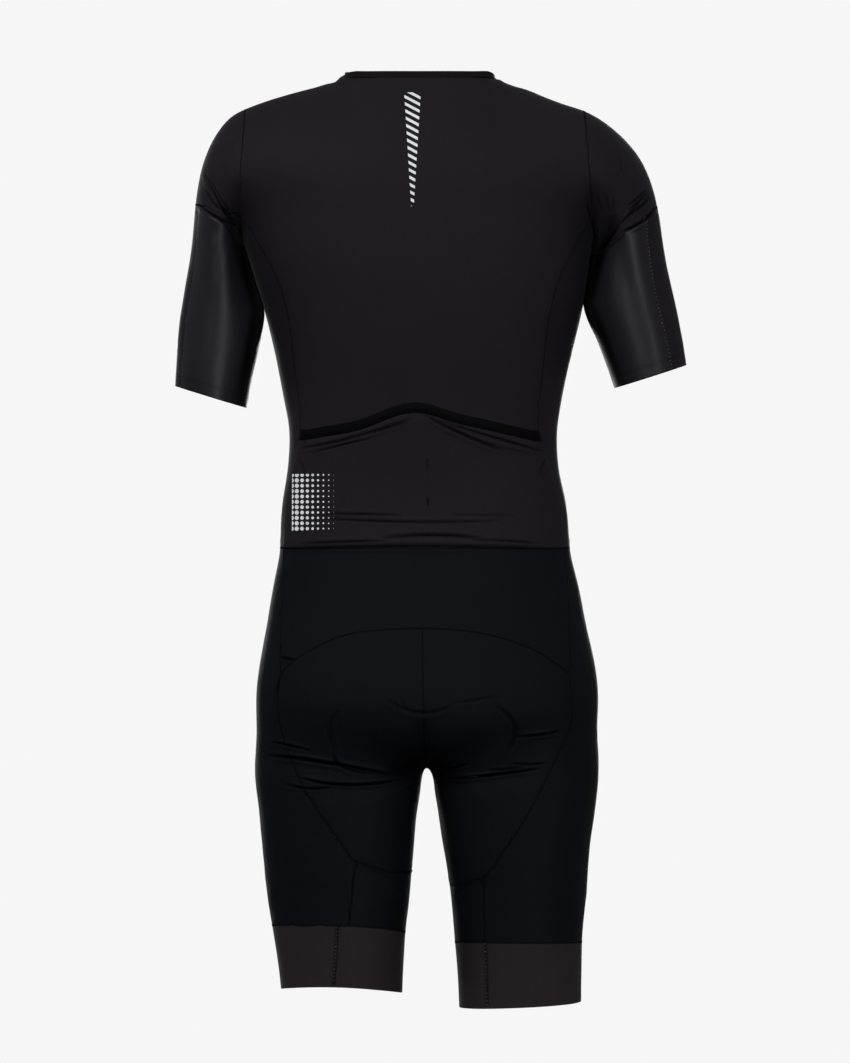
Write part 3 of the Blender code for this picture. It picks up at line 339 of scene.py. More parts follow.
# Creases, as lines on the view that faces them: two ends and the line's middle between.
# Depth is of the trough, and a negative depth is a ridge. Width is the trough's half width.
BACK_CREASES = (  # across, height, middle across, height, to across, height, depth, width
    # left shoulder, from the cap down into the armpit
    (-224, -105, -207, -141, -187, -167, 4.6, 3.0),
    (-231, -138, -216, -150, -197, -159, 3.0, 2.7),
    (-223, -122, -216, -135, -207, -145, 1.6, 2.2),
    (-213, -133, -205, -142, -197, -150, 1.6, 2.2),
    (-201, -148, -195, -146, -188, -146, 1.1, 2.2),
    (-194, -145, -192, -151, -191, -160, 1.1, 2.2),
    (-219, -107, -208, -131, -198, -146, 1.1, 2.2),
    (-193, -84, -190, -122, -193, -162, -5.0, 20.0),
    (-209, -150, -213, -236, -238, -330, -3.6, 18.0),      # a soft ridge down the lower sleeve
    # right shoulder, a fan into the armpit
    (235, -121, 228, -130, 216, -140, 1.6, 1.8),
    (237, -123, 229, -134, 216, -146, 1.6, 1.8),
    (240, -128, 231, -139, 217, -151, 1.7, 1.9),
    (229, -137, 219, -148, 207, -161, 1.9, 2.0),
    (244, -141, 234, -154, 209, -168, 3.2, 2.7),
    (208, -159, 198, -173, 188, -188, 3.5, 3.0),
    (208, -90, 209, -97, 210, -105, 0.9, 2.0),
    (177, -150, 180, -160, 183, -170, 1.8, 2.2),
    (184, -130, 187, -138, 190, -146, 1.1, 2.2),
    (193, -127, 195, -138, 197, -148, 0.9, 2.0),
    (201, -131, 201, -140, 200, -150, 0.9, 2.0),
    (174, -136, 176, -146, 178, -154, 1.4, 2.2),
    (196, -150, 219.5, -236, 243, -330, 2.2, 18.0),        # a soft hollow down the lower sleeve
    # lower back, above the waist seam
    (-106, -460, -62, -461, -18, -462, 1.4, 2.0),
    (33, -462, 66, -462, 98, -463, 0.9, 2.0),
    (-109, -465, -16, -469, 82, -468, 1.5, 2.2),
    (-126, -492, -80, -490, -34, -489, 1.5, 2.2),
    (-40, -486, 14, -483, 66, -487, 2.0, 3.0),
    (52, -488, 88, -489, 122, -492, 1.3, 2.2),
    (-141, -493, -21, -490, 122, -492, -1.1, 2.6),
    (-143, -497.5, -10, -494.5, 130, -497, 2.0, 2.9),
    # left hip
    (-145, -597, -146, -604, -146, -611, 1.1, 2.2),
    (-146, -611, -139, -611, -130, -613, 2.2, 2.2),
    (-146, -629, -148, -639, -149, -651, 1.4, 2.2),
    # round the pad's edge
    (-83, -664, -93, -682, -91, -708, 1.5, 4.0),
    (-91, -707, -79, -724, -44, -731, 1.7, 3.0),
    (-35, -653, 1, -667, 35, -658, 1.1, 3.6),
    (35, -657, 62, -653, 83, -650, 1.0, 3.2),
    (76, -659, 98, -681, 90, -710, 1.6, 4.0),
    (-25, -654, -24, -659, -22, -665, 0.8, 2.0),
    (-19, -653, -17, -658, -15, -664, 0.7, 2.0),
    # under the seat, where the cloth is drawn between the legs
    (1, -676, 2, -708, 3, -740, 2.6, 15.0),
    (-155, -698, -139, -701, -113, -707, 1.8, 2.2),
    (-158, -713, -105, -718, -25, -734, 3.2, 3.0),
    (-124, -735, -79, -742, -23, -738, 3.5, 2.2),
    (-141, -741, -117, -746, -87, -744, 1.9, 2.2),
    (-124, -746, -119, -752, -112, -758, 1.1, 2.2),
    (18, -734, 30, -727, 52, -720, 2.4, 2.2),
    (21, -738, 74, -732, 122, -726, 3.5, 2.2),
    (21, -741, 35, -741, 49, -740, 1.2, 2.2),
    (100, -692, 124, -690, 145, -686, 2.2, 2.2),
    (93, -720, 112, -721, 131, -720, 1.1, 2.2),
    (71, -727, 89, -726, 107, -724, 1.1, 2.2),
    (-14, -744, -8, -749, -3, -751, 1.2, 2.2),
    (-12, -758, -7, -761, -3, -763, 0.9, 2.0),
)
FRONT_CREASES = (
    # shoulders into the armpits
    (-214, -112, -205, -134, -189, -156, 2.9, 2.7),
    (-222, -128, -208, -145, -194, -160, 2.0, 2.2),
    (-205, -124, -199, -138, -190, -150, 1.0, 2.0),
    (226, -116, 215, -138, 199, -158, 2.9, 2.7),
    (234, -132, 221, -148, 205, -164, 2.0, 2.2),
    (214, -126, 207, -140, 198, -152, 1.0, 2.0),
    (-178, -146, -172, -164, -160, -182, 1.8, 3.0),
    (174, -146, 168, -166, 158, -184, 1.7, 3.0),
    # across the waist
    (-112, -459, -60, -464, -16, -462, 1.2, 2.2),
    (18, -463, 66, -467, 118, -461, 1.3, 2.2),
    (-120, -491, -62, -487, -14, -490, -1.6, 3.2),
    (16, -490, 70, -487, 122, -492, -1.7, 3.2),
    (-96, -424, -70, -430, -40, -429, 0.8, 3.0),
    (50, -432, 76, -434, 102, -428, 0.8, 3.0),
    # groin and thighs
    (-124, -652, -84, -684, -30, -712, 2.6, 2.7),
    (-104, -692, -64, -712, -22, -722, 2.0, 2.2),
    (-96, -724, -66, -732, -28, -733, 1.6, 2.2),
    (-80, -745, -60, -748, -36, -747, 1.0, 2.0),
    (132, -650, 94, -684, 38, -712, 2.6, 2.7),
    (112, -690, 76, -712, 34, -722, 2.0, 2.2),
    (106, -726, 76, -733, 38, -734, 1.6, 2.2),
    (92, -745, 70, -749, 48, -747, 1.0, 2.0),
)
LEFT_CREASES = (  # the same from the left, by depth and height
    (4, -704, 26, -706, 52, -703, 0.9, 2.6),
    (-2, -720, 22, -723, 46, -720, 1.1, 2.2),
    (6, -746, 28, -749, 50, -746, 0.8, 2.6),
    (6, -490, 30, -488, 58, -491, -0.9, 3.0),
    (0, -200, 12, -214, 20, -232, 0.9, 2.2),
)
RIGHT_CREASES = (
    (2, -692, 26, -694, 50, -690, 0.9, 2.6),
    (-2, -726, 20, -729, 44, -726, 1.1, 2.2),
    (4, -742, 24, -744, 46, -741, 0.8, 2.6),
    (6, -490, 30, -487, 58, -491, -0.9, 3.0),
    (0, -202, 12, -216, 20, -236, 0.9, 2.2),
)
FACING = (  # creases, axis they lie across, axis and sign of the way they face
    (BACK_CREASES, 0, 1, -1), (FRONT_CREASES, 0, 1, 1), (LEFT_CREASES, 1, 0, -1), (RIGHT_CREASES, 1, 0, 1),
)
# Painted shade: each hollow darkens the cloth through the fold attribute, beside each sleeve under the arm
# and under the seat between the legs.
HOLLOWS = (  # where light hardly reaches: the same line, then its shade and how far that spreads
    (-200, -146, -183, -207, -165, -272, 1.0, 7.5),
    (-168, -222, -179, -285, -192, -356, 0.9, 6.5),
    (205, -148, 188, -195, 173, -264, 1.0, 7.5),
    (173, -226, 192, -275, 216, -338, 0.9, 6.0),
    (-34, -733, 2, -722, 38, -733, 0.85, 15.0),
)
CREASE_SAMPLES = 40
CREASE_MARGIN = 4               # widths beyond which a crease moves nothing
FACING_SLOPE = 2.4              # how fast a crease sets in where the cloth turns to face its view
TAPER = 0.55                    # how bluntly a crease runs out at its ends
VALLEY = 0.48                   # the trough's own half width, as a share of the crease's
SWELL = 0.55                    # how high the cloth swells on either side, as a share of its depth
SWELL_PLACE = 1.15              # how far to the side, in widths
SWELL_SPREAD = 0.7
LESSER_SWELL = 0.7              # the other side swells by this share of it
OPEN_SLOPE = 0.25               # a trough shallower than this share of its width stays open to the light
SHUT_SLOPE = 2.4                # and it shuts as fast as this beyond it


def beside_creases(points, normals, tables):
    """Each crease's near points: their numbers, signed distance in widths, taper and depth."""
    t = np.linspace(0, 1, CREASE_SAMPLES)[:, None]
    for table, across, axis, sign in tables:
        facing = np.clip(normals[:, axis] * sign * FACING_SLOPE, 0, 1)
        flat = points[:, (across, 2)] / MM
        for x1, z1, xm, zm, x2, z2, depth, width in table:
            ends = np.array([(x1, z1), (xm, zm), (x2, z2)], float)
            bend = 2 * ends[1] - (ends[0] + ends[2]) / 2
            line = (1 - t) ** 2 * ends[0] + 2 * t * (1 - t) * bend + t * t * ends[2]
            low, high = line.min(axis=0) - CREASE_MARGIN * width, line.max(axis=0) + CREASE_MARGIN * width
            near = np.flatnonzero(((flat > low) & (flat < high)).all(axis=1) & (facing > 0))
            if not len(near):
                continue
            away = flat[near][:, None] - line[None]
            nearest = np.linalg.norm(away, axis=-1).argmin(axis=1)
            offset = away[np.arange(len(near)), nearest]
            run = np.gradient(line, axis=0)[nearest]
            step = np.linalg.norm(run, axis=1)
            beside = (run[:, 0] * offset[:, 1] - run[:, 1] * offset[:, 0]) / step
            ahead = (run * offset).sum(axis=1) / step ** 2
            share = np.clip((nearest + ahead) / (CREASE_SAMPLES - 1), 0, 1)
            taper = (4 * share * (1 - share)) ** TAPER * facing[near]
            lies = taper > 0
            yield near[lies], beside[lies] / width, taper[lies], depth, width


def creased(points, normals, tables=FACING):
    """How far the creases push each point along its normal, in metres, and how shut they are, which is
    painted on the cloth as shade; hollows add painted shade of their own.
    """
    sink, rise, shut = np.zeros(len(points)), np.zeros(len(points)), np.zeros(len(points))
    for near, s, taper, depth, width in beside_creases(points, normals, tables):
        valley = bell(s, 0, VALLEY)
        swell = SWELL * (bell(s, SWELL_PLACE, SWELL_SPREAD)
                         + LESSER_SWELL * bell(s, -SWELL_PLACE, SWELL_SPREAD))
        if depth < 0:
            rise[near] = np.maximum(rise[near], -depth * bell(s) * taper)
            continue
        sink[near] = np.maximum(sink[near], depth * valley * taper)
        rise[near] = np.maximum(rise[near], depth * swell * taper)
        closing = np.clip(SHUT_SLOPE * (depth / width - OPEN_SLOPE), 0, 1)
        shut[near] = np.maximum(shut[near], closing * valley * taper)
    push = (rise * (1 - shut) - sink) * MM
    for near, s, taper, shade, width in beside_creases(points, normals, ((HOLLOWS, 0, 1, -1),)):
        shut[near] = np.maximum(shut[near], shade * bell(s) * taper)
    return push, shut


UNEVENNESS = ((3.1, 0.35, 46), (9.7, 0.12, 17))     # seed, height and grain, broad and fine


def uneven(points):
    """Slow unevenness of the cloth's surface, in metres."""
    return sum(np.array([noise.noise(Vector(point) / (grain * MM) + Vector((seed, 0, 0)))
                         for point in points]) * height * MM for seed, height, grain in UNEVENNESS)


def centres_of(bm):
    bm.faces.ensure_lookup_table()
    return (np.array([face.calc_center_median() for face in bm.faces]),
            np.array([face.normal for face in bm.faces]))


def on_seam(edge):
    faces = edge.link_faces
    return len(faces) == 2 and faces[0].material_index != faces[1].material_index


BROAD_MM = 10                   # a swell wider than this shows well enough on the plain squares
FINE_REACHES = (3.2, 2.0)       # widths from a crease within which the cloth is made finer, twice


def refine(bm, reach, tables=FACING):
    """Splits the squares beside seams and within `reach` widths of a crease into four."""
    centres, normals = centres_of(bm)
    chosen = np.zeros(len(centres), bool)
    for near, s, taper, depth, width in beside_creases(centres, normals, tables):
        if width < BROAD_MM:
            chosen[near[np.abs(s) < reach]] = True
    edges = {edge for face, wanted in zip(bm.faces, chosen) if wanted for edge in face.edges}
    for edge in bm.edges:
        if on_seam(edge):
            edges |= {other for vert in edge.verts for face in vert.link_faces for other in face.edges}
    bmesh.ops.subdivide_edges(bm, edges=list(edges), cuts=1, use_grid_fill=True)
    bm.normal_update()


SEAM_SINK_MM = 0.35
# how much painted shade a seam's groove gets, through the fold attribute
SEAM_SHADE = 0.5
TUCK_RISE_MM = 1.3              # the shorts' front edge goes up behind the edges of the fronts
TUCK_SINK_MM = 0.55
WAIST_HEIGHT_MM = -496.2
WAIST_REACH_MM = 2
NECK_REACH_MM = 1.5             # the panels' neck edges lie this near the binding, and are tucked into it
NECK_TUCK_MM = 0.4
NECK_DROP_MM = 3.8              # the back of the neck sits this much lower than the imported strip
NECK_FADE_MM = 22
# The shoulders rise to meet it, and the binding's corners sink where it turns forward: each
# by the place across, how far up or down, and the reach to either side.
SHOULDER_LIFTS = ((-95, 3.6, 12), (-81, 6.0, 6), (88, 3.0, 10), (82, 2.6, 5))
SHOULDER_FADE_MM = 40
UPWARD_SLOPE = 2                # how fast the rise sets in where the cloth turns upwards
NECK_CORNERS = ((-78, 4.2, 6), (80, 4.0, 6))
CORNER_FADE_MM = 12


def eased(points, normals):
    """Places near the neck, moved so that shoulder and binding run into each other."""
    x, z = points[:, 0] / MM, points[:, 2] / MM
    moved = points.copy()
    moved[:, 2] -= NECK_DROP_MM * MM * gently(np.clip(1 + z / NECK_FADE_MM, 0, 1))
    for place, rise, reach in SHOULDER_LIFTS:
        lift = bell(x, place, reach) * np.clip(1 + z / SHOULDER_FADE_MM, 0, 1)
        moved[:, 2] += rise * MM * lift * np.clip(normals[:, 2] * UPWARD_SLOPE, 0, 1)
    for place, sink, reach in NECK_CORNERS:
        moved[:, 2] -= sink * MM * bell(x, place, reach) * np.clip(1 + z / CORNER_FADE_MM, 0, 1)
    return moved


# The neck's binding is shaped here too, because the panels' edges run into it.
strip = smoothed(meshed("neck_binding", squared(packed("neck_binding"))))
BINDING_SWELL_MM = 0.35
strip_points = eased(points_of(strip), normals_of(strip)) + normals_of(strip) * BINDING_SWELL_MM * MM
strip.vertices.foreach_set("co", strip_points.ravel())
strip.update()
strip_tree = BVHTree.FromPolygons(strip_points.tolist(), [face.vertices[:] for face in strip.polygons])

fine = bmesh.new()
fine.from_mesh(shell)
for reach in FINE_REACHES:
    refine(fine, reach)
fine.to_mesh(shell)
plain_tree = BVHTree.FromBMesh(fine)
points, normals = points_of(shell), normals_of(shell)
push, shut = creased(points, normals)
push += uneven(points)
sunk = np.zeros(len(points), bool)
sunk[[vert.index for edge in fine.edges if on_seam(edge) for vert in edge.verts]] = True
push -= sunk * SEAM_SINK_MM * MM
# The shell's fold attribute holds the painted shade of shut creases, hollows and seam grooves, which
# darkens its colour.
shut = np.maximum(shut, sunk * SEAM_SHADE)
fold = fine.verts.layers.float.new("fold")
for vert, place, amount in zip(fine.verts, eased(points, normals) + normals * push[:, None], shut):
    vert.co = place
    vert[fold] = amount
    if vert.is_boundary:
        place, up, _, away = strip_tree.find_nearest(vert.co)
        if away < NECK_REACH_MM * MM:
            vert.co = place - up * NECK_TUCK_MM * MM
        panel = PANELS[vert.link_faces[0].material_index]
        if panel.startswith("leg_front") and abs(vert.co.z / MM - WAIST_HEIGHT_MM) < WAIST_REACH_MM:
            vert.co += (Vector((0, 0, TUCK_RISE_MM)) - vert.normal * TUCK_SINK_MM) * MM
fine.normal_update()
fine.to_mesh(shell)
shell_tree = BVHTree.FromBMesh(fine)

# Seams, each as a line of points between two panels.
seam_edges = {}
for edge in fine.edges:
    if on_seam(edge):
        seam_edges.setdefault(frozenset(face.material_index for face in edge.link_faces), []).append(edge)


def seam_line(first, second):
    """Points of the seam between two panels, in order; one line for each unbroken length."""
    edges = set(seam_edges[frozenset((PANELS.index(first), PANELS.index(second)))])
    lines = []
    while edges:
        edge = edges.pop()
        line = list(edge.verts)
        for end in (0, -1):
            while True:
                ahead = [e for e in line[end].link_edges if e in edges]
                if not ahead:
                    break
                edges.discard(ahead[0])
                step = ahead[0].other_vert(line[end])
                line = [step] + line if end == 0 else line + [step]
        lines.append([vert.co.copy() for vert in line])
    return lines


# The weave runs round the body, each leg and each sleeve as round an upright tube, given by
# where its middle lies across, its radius and, for a sleeve, how far it leans with height.
BODY_TUBE = (0.003, 0.13)
LEG_TUBES = {"left": (-0.086, 0.075), "right": (0.102, 0.075)}
SLEEVE_TUBES = {"left": (-0.212, 0.045, 0.06), "right": (0.215, 0.045, -0.1)}
SLEEVE_HEIGHT = -0.1            # where that middle is given
SLEEVE_DEPTH = -0.004
STRADDLE = 0.1                  # corners further than this from a square's middle lie past the line
CLOSING = 0.8                   # where the tube closes, and are brought back by nearly once round the body


def around(name, place):
    """Place on the cloth for its weave: metres round the panel's own tube, and height."""
    side = "left" if name.endswith("left") else "right"
    (across, radius), behind = BODY_TUBE, 0
    if name.startswith(("leg", "cuff")):
        across, radius = LEG_TUBES[side]
    elif name.startswith(SLEEVE_PANELS):
        across, radius, lean = SLEEVE_TUBES[side]
        across += (place.z - SLEEVE_HEIGHT) * lean
        behind = SLEEVE_DEPTH
    return math.atan2(place.x - across, behind - place.y) * radius, place.z


def lay_weave(bm, node, closes=True):
    """Makes the faces smooth and lays the weave's coordinates on them."""
    weave = bm.loops.layers.uv.new("weave")
    for face in bm.faces:
        face.smooth = True
        base = around(node, face.calc_center_median())[0]
        for loop in face.loops:
            u, v = around(node, loop.vert.co)
            if closes and abs(u - base) > STRADDLE:
                u -= round((u - base) / CLOSING) * CLOSING
            loop[weave].uv = (u, v)


def placed(name, mesh, slot, node=None, body="suit"):
    """A finished piece that rides on its body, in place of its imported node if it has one."""
    piece = bpy.data.objects.new(name, mesh)
    scene.collection.objects.link(piece)
    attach(piece, body)
    if node:
        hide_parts(node)
    return piece


def cut_panel(name, material, slot, wall_mm=1.0, inside=None):
    """Cuts a panel out of the shell and gives it the thickness of its cloth."""
    number = PANELS.index(name)
    bm = bmesh.new()
    bm.from_mesh(shell)
    bmesh.ops.delete(bm, geom=[face for face in bm.faces if face.material_index != number], context="FACES")
    return finish_cloth(bm, name, material, slot, wall_mm, inside)


def finish_cloth(bm, node, material, slot, wall_mm, inside=None):
    """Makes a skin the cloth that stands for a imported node: its weave, thickness and material."""
    for edge in bm.edges:
        edge.smooth = not edge.is_boundary
    for face in bm.faces:
        face.material_index = 0
    lay_weave(bm, node)
    name = node + "_cloth"
    piece = placed(name, meshed(name, bm, material, inside or material), slot, node)
    thickness = piece.modifiers.new("thickness", "SOLIDIFY")
    thickness.material_offset = 1
    thickness.thickness = wall_mm * MM
    thickness.offset = -1
    return piece


# Painted shade: the fold attribute darkens the cloth's colour towards black by up to this share, in shut
# creases, hollows and seam grooves.
FOLD_SHADE = 0.85               # the inside of a shut crease takes next to no light
WAVE_PERIOD = 0.314             # of a wave texture at scale 1
COURSE_SHARE = 0.8              # a loop's height, as a share of its width
LOOP_DEPTH_MM = 0.3
# Painted shade between the loops: the loop pattern moves the cloth between its two tones by this share. The
# uneven dye uses the same two tones at random.
LOOP_SHADE = 0.35               # how much of the two tones the loops take, besides the uneven dye
DYE_SCALE = 9.0                 # patches of a hand's width
FLECK_SCALE = 420.0             # flecks of about 2.4 mm, as coarse as they need to be to show


def knit(name, face, shade, rough, sheen, wale_mm=1.5, relief=0.25, specular=0.25, mark=None):
    """A knitted cloth: rows of loops in the weave with painted shade between them, uneven dye, and painted
    shade in shut creases, which go dark, rougher and lose their gloss.
    """
    made, shader = shaded(name)
    tree = made.node_tree
    place = add(tree, "UVMap", uv_map="weave").outputs["UV"]
    wales = add(tree, "TexWave", {"Vector": place, "Scale": WAVE_PERIOD / (wale_mm * MM),
                                  "Distortion": 0.6, "Detail": 1.0, "Detail Scale": 2.0},
                bands_direction="X")
    courses = add(tree, "TexWave", {"Vector": place, "Scale": WAVE_PERIOD / (wale_mm * COURSE_SHARE * MM),
                                    "Distortion": 0.8, "Detail": 1.0, "Detail Scale": 2.0},
                  bands_direction="Y")
    loops = add(tree, "Math", {0: wales.outputs["Fac"], 1: courses.outputs["Fac"]}, operation="MULTIPLY")
    object_place = add(tree, "TexCoord").outputs["Object"]
    dye = add(tree, "TexNoise", {"Vector": object_place, "Scale": DYE_SCALE, "Detail": 4.0})
    fleck = add(tree, "TexNoise", {"Vector": object_place, "Scale": FLECK_SCALE, "Detail": 2.0})
    mottle = add(tree, "Math", {0: dye.outputs["Fac"], 1: fleck.outputs["Fac"]}, operation="MULTIPLY")
    amount = add(tree, "Math", {0: loops.outputs["Value"], 1: LOOP_SHADE, 2: mottle.outputs["Value"]},
                 operation="MULTIPLY_ADD")
    blend = add(tree, "Mix", {"Factor": amount.outputs["Value"], "A": srgb(shade), "B": srgb(face)},
                data_type="RGBA")
    # Painted shade from the fold attribute: a darker colour, a higher roughness and the gloss tinted out.
    fold = add(tree, "Attribute", attribute_name="fold")
    shut = add(tree, "Math", {0: fold.outputs["Fac"], 1: FOLD_SHADE}, operation="MULTIPLY")
    fold_shaded = add(tree, "Mix", {"Factor": shut.outputs["Value"], "A": blend.outputs["Result"], "B": BLACK},
               data_type="RGBA")
    coloured = fold_shaded if mark is None else mark(tree, fold_shaded)
    bump = add(tree, "Bump", {"Height": loops.outputs["Value"], "Strength": relief,
                              "Distance": LOOP_DEPTH_MM * MM})
    dull = add(tree, "Math", {0: fold.outputs["Fac"], 1: 1 - rough, 2: rough}, operation="MULTIPLY_ADD")
    glint = add(tree, "Mix", {"Factor": fold.outputs["Fac"], "A": WHITE, "B": BLACK}, data_type="RGBA")
    fill(shader, {"Base Color": coloured.outputs["Result"], "Normal": bump.outputs["Normal"],
                  "Roughness": dull.outputs["Value"], "Specular Tint": glint.outputs["Result"],
                  "Specular IOR Level": specular, "Sheen Weight": sheen, "Sheen Roughness": 0.3})
    return made


# ------------------------------------------------------------------ Body panels
# Matt warp knit of polyester and elastane, which looks soft and even with a faint grain: one
# back, a side panel under each arm and two fronts either side of the zip, sewn flat.

JERSEY_TONES = ("#211E22", "#161417")
PRINT_TONE = "#CBCCCF"          # reflective transfer print


BAR_PITCH_MM = 7.5
BAR_SHARE = 0.42                # of its pitch
BAR_SLANT = 0.55
BARS_ACROSS_MM = -8
BARS_HEIGHT_MM = (-82.5, 60)    # the column's middle, and half its length
BAR_HALVES_MM = ((-140, 1.5), (-25, 8.5))       # height and half width, low and high


def printed(tree, cloth, whole, *masks):
    """The print's tone over the cloth where every mask is 1."""
    for mask in masks:
        whole = add(tree, "Math", {0: whole.outputs["Value"], 1: mask.outputs["Value"]},
                    operation="MULTIPLY")
    return add(tree, "Mix", {"Factor": whole.outputs["Value"], "A": cloth.outputs["Result"],
                             "B": srgb(PRINT_TONE)}, data_type="RGBA")


def bars(tree, cloth):
    """A column of slanted bars down the upper back that shrink as they go."""
    place = add(tree, "SeparateXYZ", {"Vector": add(tree, "TexCoord").outputs["Object"]}).outputs
    turn = add(tree, "Math", {0: place["X"], 1: BAR_SLANT, 2: place["Z"]}, operation="MULTIPLY_ADD")
    count = add(tree, "Math", {0: turn.outputs["Value"], 1: BAR_PITCH_MM * MM}, operation="DIVIDE")
    step = add(tree, "Math", {0: count.outputs["Value"]}, operation="FRACT")
    bar = add(tree, "Math", {0: step.outputs["Value"], 1: BAR_SHARE}, operation="LESS_THAN")
    (low, narrow), (high, wide) = BAR_HALVES_MM
    half = add(tree, "MapRange", {"Value": place["Z"], "From Min": low * MM, "From Max": high * MM,
                                  "To Min": narrow * MM, "To Max": wide * MM})
    across = add(tree, "Math", {0: place["X"], 1: BARS_ACROSS_MM * MM, 2: half.outputs["Result"]},
                 operation="COMPARE")
    middle, reach = BARS_HEIGHT_MM
    along = add(tree, "Math", {0: place["Z"], 1: middle * MM, 2: reach * MM}, operation="COMPARE")
    return printed(tree, cloth, bar, across, along)


JERSEY = knit("jersey, matt warp knit", *JERSEY_TONES, 0.7, 0.04, specular=0.04)
BODY_CUTS = {  # width, length and area of each flat cut
    "back": (0.43, 0.52, 0.177), "side_left": (0.17, 0.36, 0.045), "side_right": (0.18, 0.36, 0.049),
    "front_left": (0.21, 0.49, 0.070), "front_right": (0.21, 0.49, 0.068),
}
PRINTED_BACK = knit("jersey with a transfer print of bars", *JERSEY_TONES, 0.7, 0.04, specular=0.04,
                    mark=bars)
for name, (width, length, area) in BODY_CUTS.items():
    piece = cut_panel(name, PRINTED_BACK if name == "back" else JERSEY, "jersey", inside=JERSEY)

# ------------------------------------------------------------------ Sleeves
# A cap of the body knit is set into the armhole. The lower sleeve is a brushed satin knit
# behind, with long soft highlights, and the body knit outside and in front. Its hem is raw.

SATIN = knit("satin knit, brushed sleek", "#18161B", "#110F13", 0.47, 0.0, wale_mm=1.1, relief=0.06,
             specular=0.2)
SLEEVE_CUTS = {
    "cap_left": (0.38, 0.10, 0.021), "cap_right": (0.40, 0.12, 0.026),
    "sleeve_front_left": (0.19, 0.20, 0.032), "sleeve_front_right": (0.20, 0.18, 0.032),
}
SATIN_CUTS = {"sleeve_back_left": (0.13, 0.18, 0.019), "sleeve_back_right": (0.12, 0.15, 0.0147)}
for cuts, material, slot in ((SLEEVE_CUTS, JERSEY, "jersey"), (SATIN_CUTS, SATIN, "satin")):
    for name, (width, length, area) in cuts.items():
        piece = cut_panel(name, material, slot)

# ------------------------------------------------------------------ Shorts
# A denser compression knit, flat and blue black: a yoke across the hips, two seat panels
# under an arched seam, and an outer and a front panel on each leg.

SHORTS = knit("compression knit, blue black", "#0E1015", "#090A0E", 0.66, 0.0, wale_mm=1.3,
              specular=0.04)
SHORTS_CUTS = {
    "yoke": (0.31, 0.14, 0.033), "seat_left": (0.19, 0.30, 0.043), "seat_right": (0.19, 0.31, 0.0445),
    "leg_outer_left": (0.20, 0.40, 0.0686), "leg_outer_right": (0.21, 0.42, 0.0764),
    "leg_front_left": (0.23, 0.42, 0.065), "leg_front_right": (0.22, 0.42, 0.0646),
}
for name, (width, length, area) in SHORTS_CUTS.items():
    piece = cut_panel(name, SHORTS, "shorts")

# ------------------------------------------------------------------ Leg grippers
# A deep raw-cut power band round each thigh, held by its own stretch. It is thicker and a
# warmer grey than the shorts, with coarser rows.

GRIPPER = knit("power band, raw cut", "#2B2628", "#1F1B1D", 0.75, 0.03, wale_mm=1.6, relief=0.35,
               specular=0.05)
for name in ("cuff_left", "cuff_right"):
    piece = cut_panel(name, GRIPPER, "gripper", wall_mm=1.4)

# ------------------------------------------------------------------ Rear pocket
# One more layer of the body knit over the lower back, hemmed along its top by a flat
# elastic that rises to a low point in the middle. The pocket is empty and lies flat.

POCKET_CREASES = (
    (-124, -392, -72, -381.5, -8, -360.5, 4.0, 2.6),
    (-112, -397, -78, -388, -48, -381, 1.4, 2.0),
    (-50, -377, -30, -370, -10, -364, 1.3, 2.0),
    (4, -357, 38, -375, 88, -396, 4.0, 2.6),
    (20, -363, 72, -380, 128, -396, 2.6, 2.2),
    (24, -366, 64, -377, 112, -390, 1.4, 1.8),
    (62, -385, 88, -392, 116, -400, 0.9, 2.0),
    (-126, -402, -121, -410, -118, -420, 1.0, 2.0),
    (131, -402, 126, -410, 124, -421, 1.0, 2.0),
)
LEAST_LIFT = 0.4                # a crease in the layer stops at this share of its lift above the back
EDGE_LIFT = 0.45                # its edge is at this share, and it rises over the reach below
EDGE_REACH_MM = 9
EVENING = 0.5                   # how much the layer's points are evened out in the end


def laid(node, lift_mm, tables=()):
    """A packed layer on the body: its skin, set on the creased cloth, with creases of its own."""
    bm = bmesh.new()
    bm.from_mesh(smoothed(meshed(node, outer_skin(node))))
    for reach in FINE_REACHES:
        refine(bm, reach, FACING[:1] + tables)
    nearest = [plain_tree.find_nearest(vert.co) for vert in bm.verts]
    places = np.array([place for place, up, index, away in nearest])
    ups = np.array([up for place, up, index, away in nearest])
    under, shut = creased(places, ups)
    own, own_shut = creased(places, ups, tables)
    rim = KDTree(len(bm.verts))
    for vert in bm.verts:
        if vert.is_boundary:
            rim.insert(vert.co, vert.index)
    rim.balance()
    inside = np.array([min(1, rim.find(vert.co)[2] / (EDGE_REACH_MM * MM)) for vert in bm.verts])
    rest = lift_mm * MM * (EDGE_LIFT + (1 - EDGE_LIFT) * inside * (2 - inside))
    lift = under + uneven(places) + np.maximum(own * inside + rest, LEAST_LIFT * lift_mm * MM)
    # The layer's fold attribute holds painted shade: that of the creases beneath it and of its own.
    fold = bm.verts.layers.float.new("fold")
    for vert, place, amount in zip(bm.verts, places + ups * lift[:, None], np.maximum(shut, own_shut)):
        vert.co = place
        vert[fold] = amount
    bmesh.ops.smooth_vert(bm, verts=[vert for vert in bm.verts if not vert.is_boundary], factor=EVENING,
                          use_axis_x=True, use_axis_y=True, use_axis_z=True)
    return bm


DOT_PITCH_MM = 5.6
DOT_SIZES = ((-134, 0.43), (-96, 0.12))         # place across, and the dot's radius in pitches
DOTS_ACROSS_MM = (-112, 22)     # the patch's middle, and half its width
DOTS_HEIGHT_MM = (-449, 30)


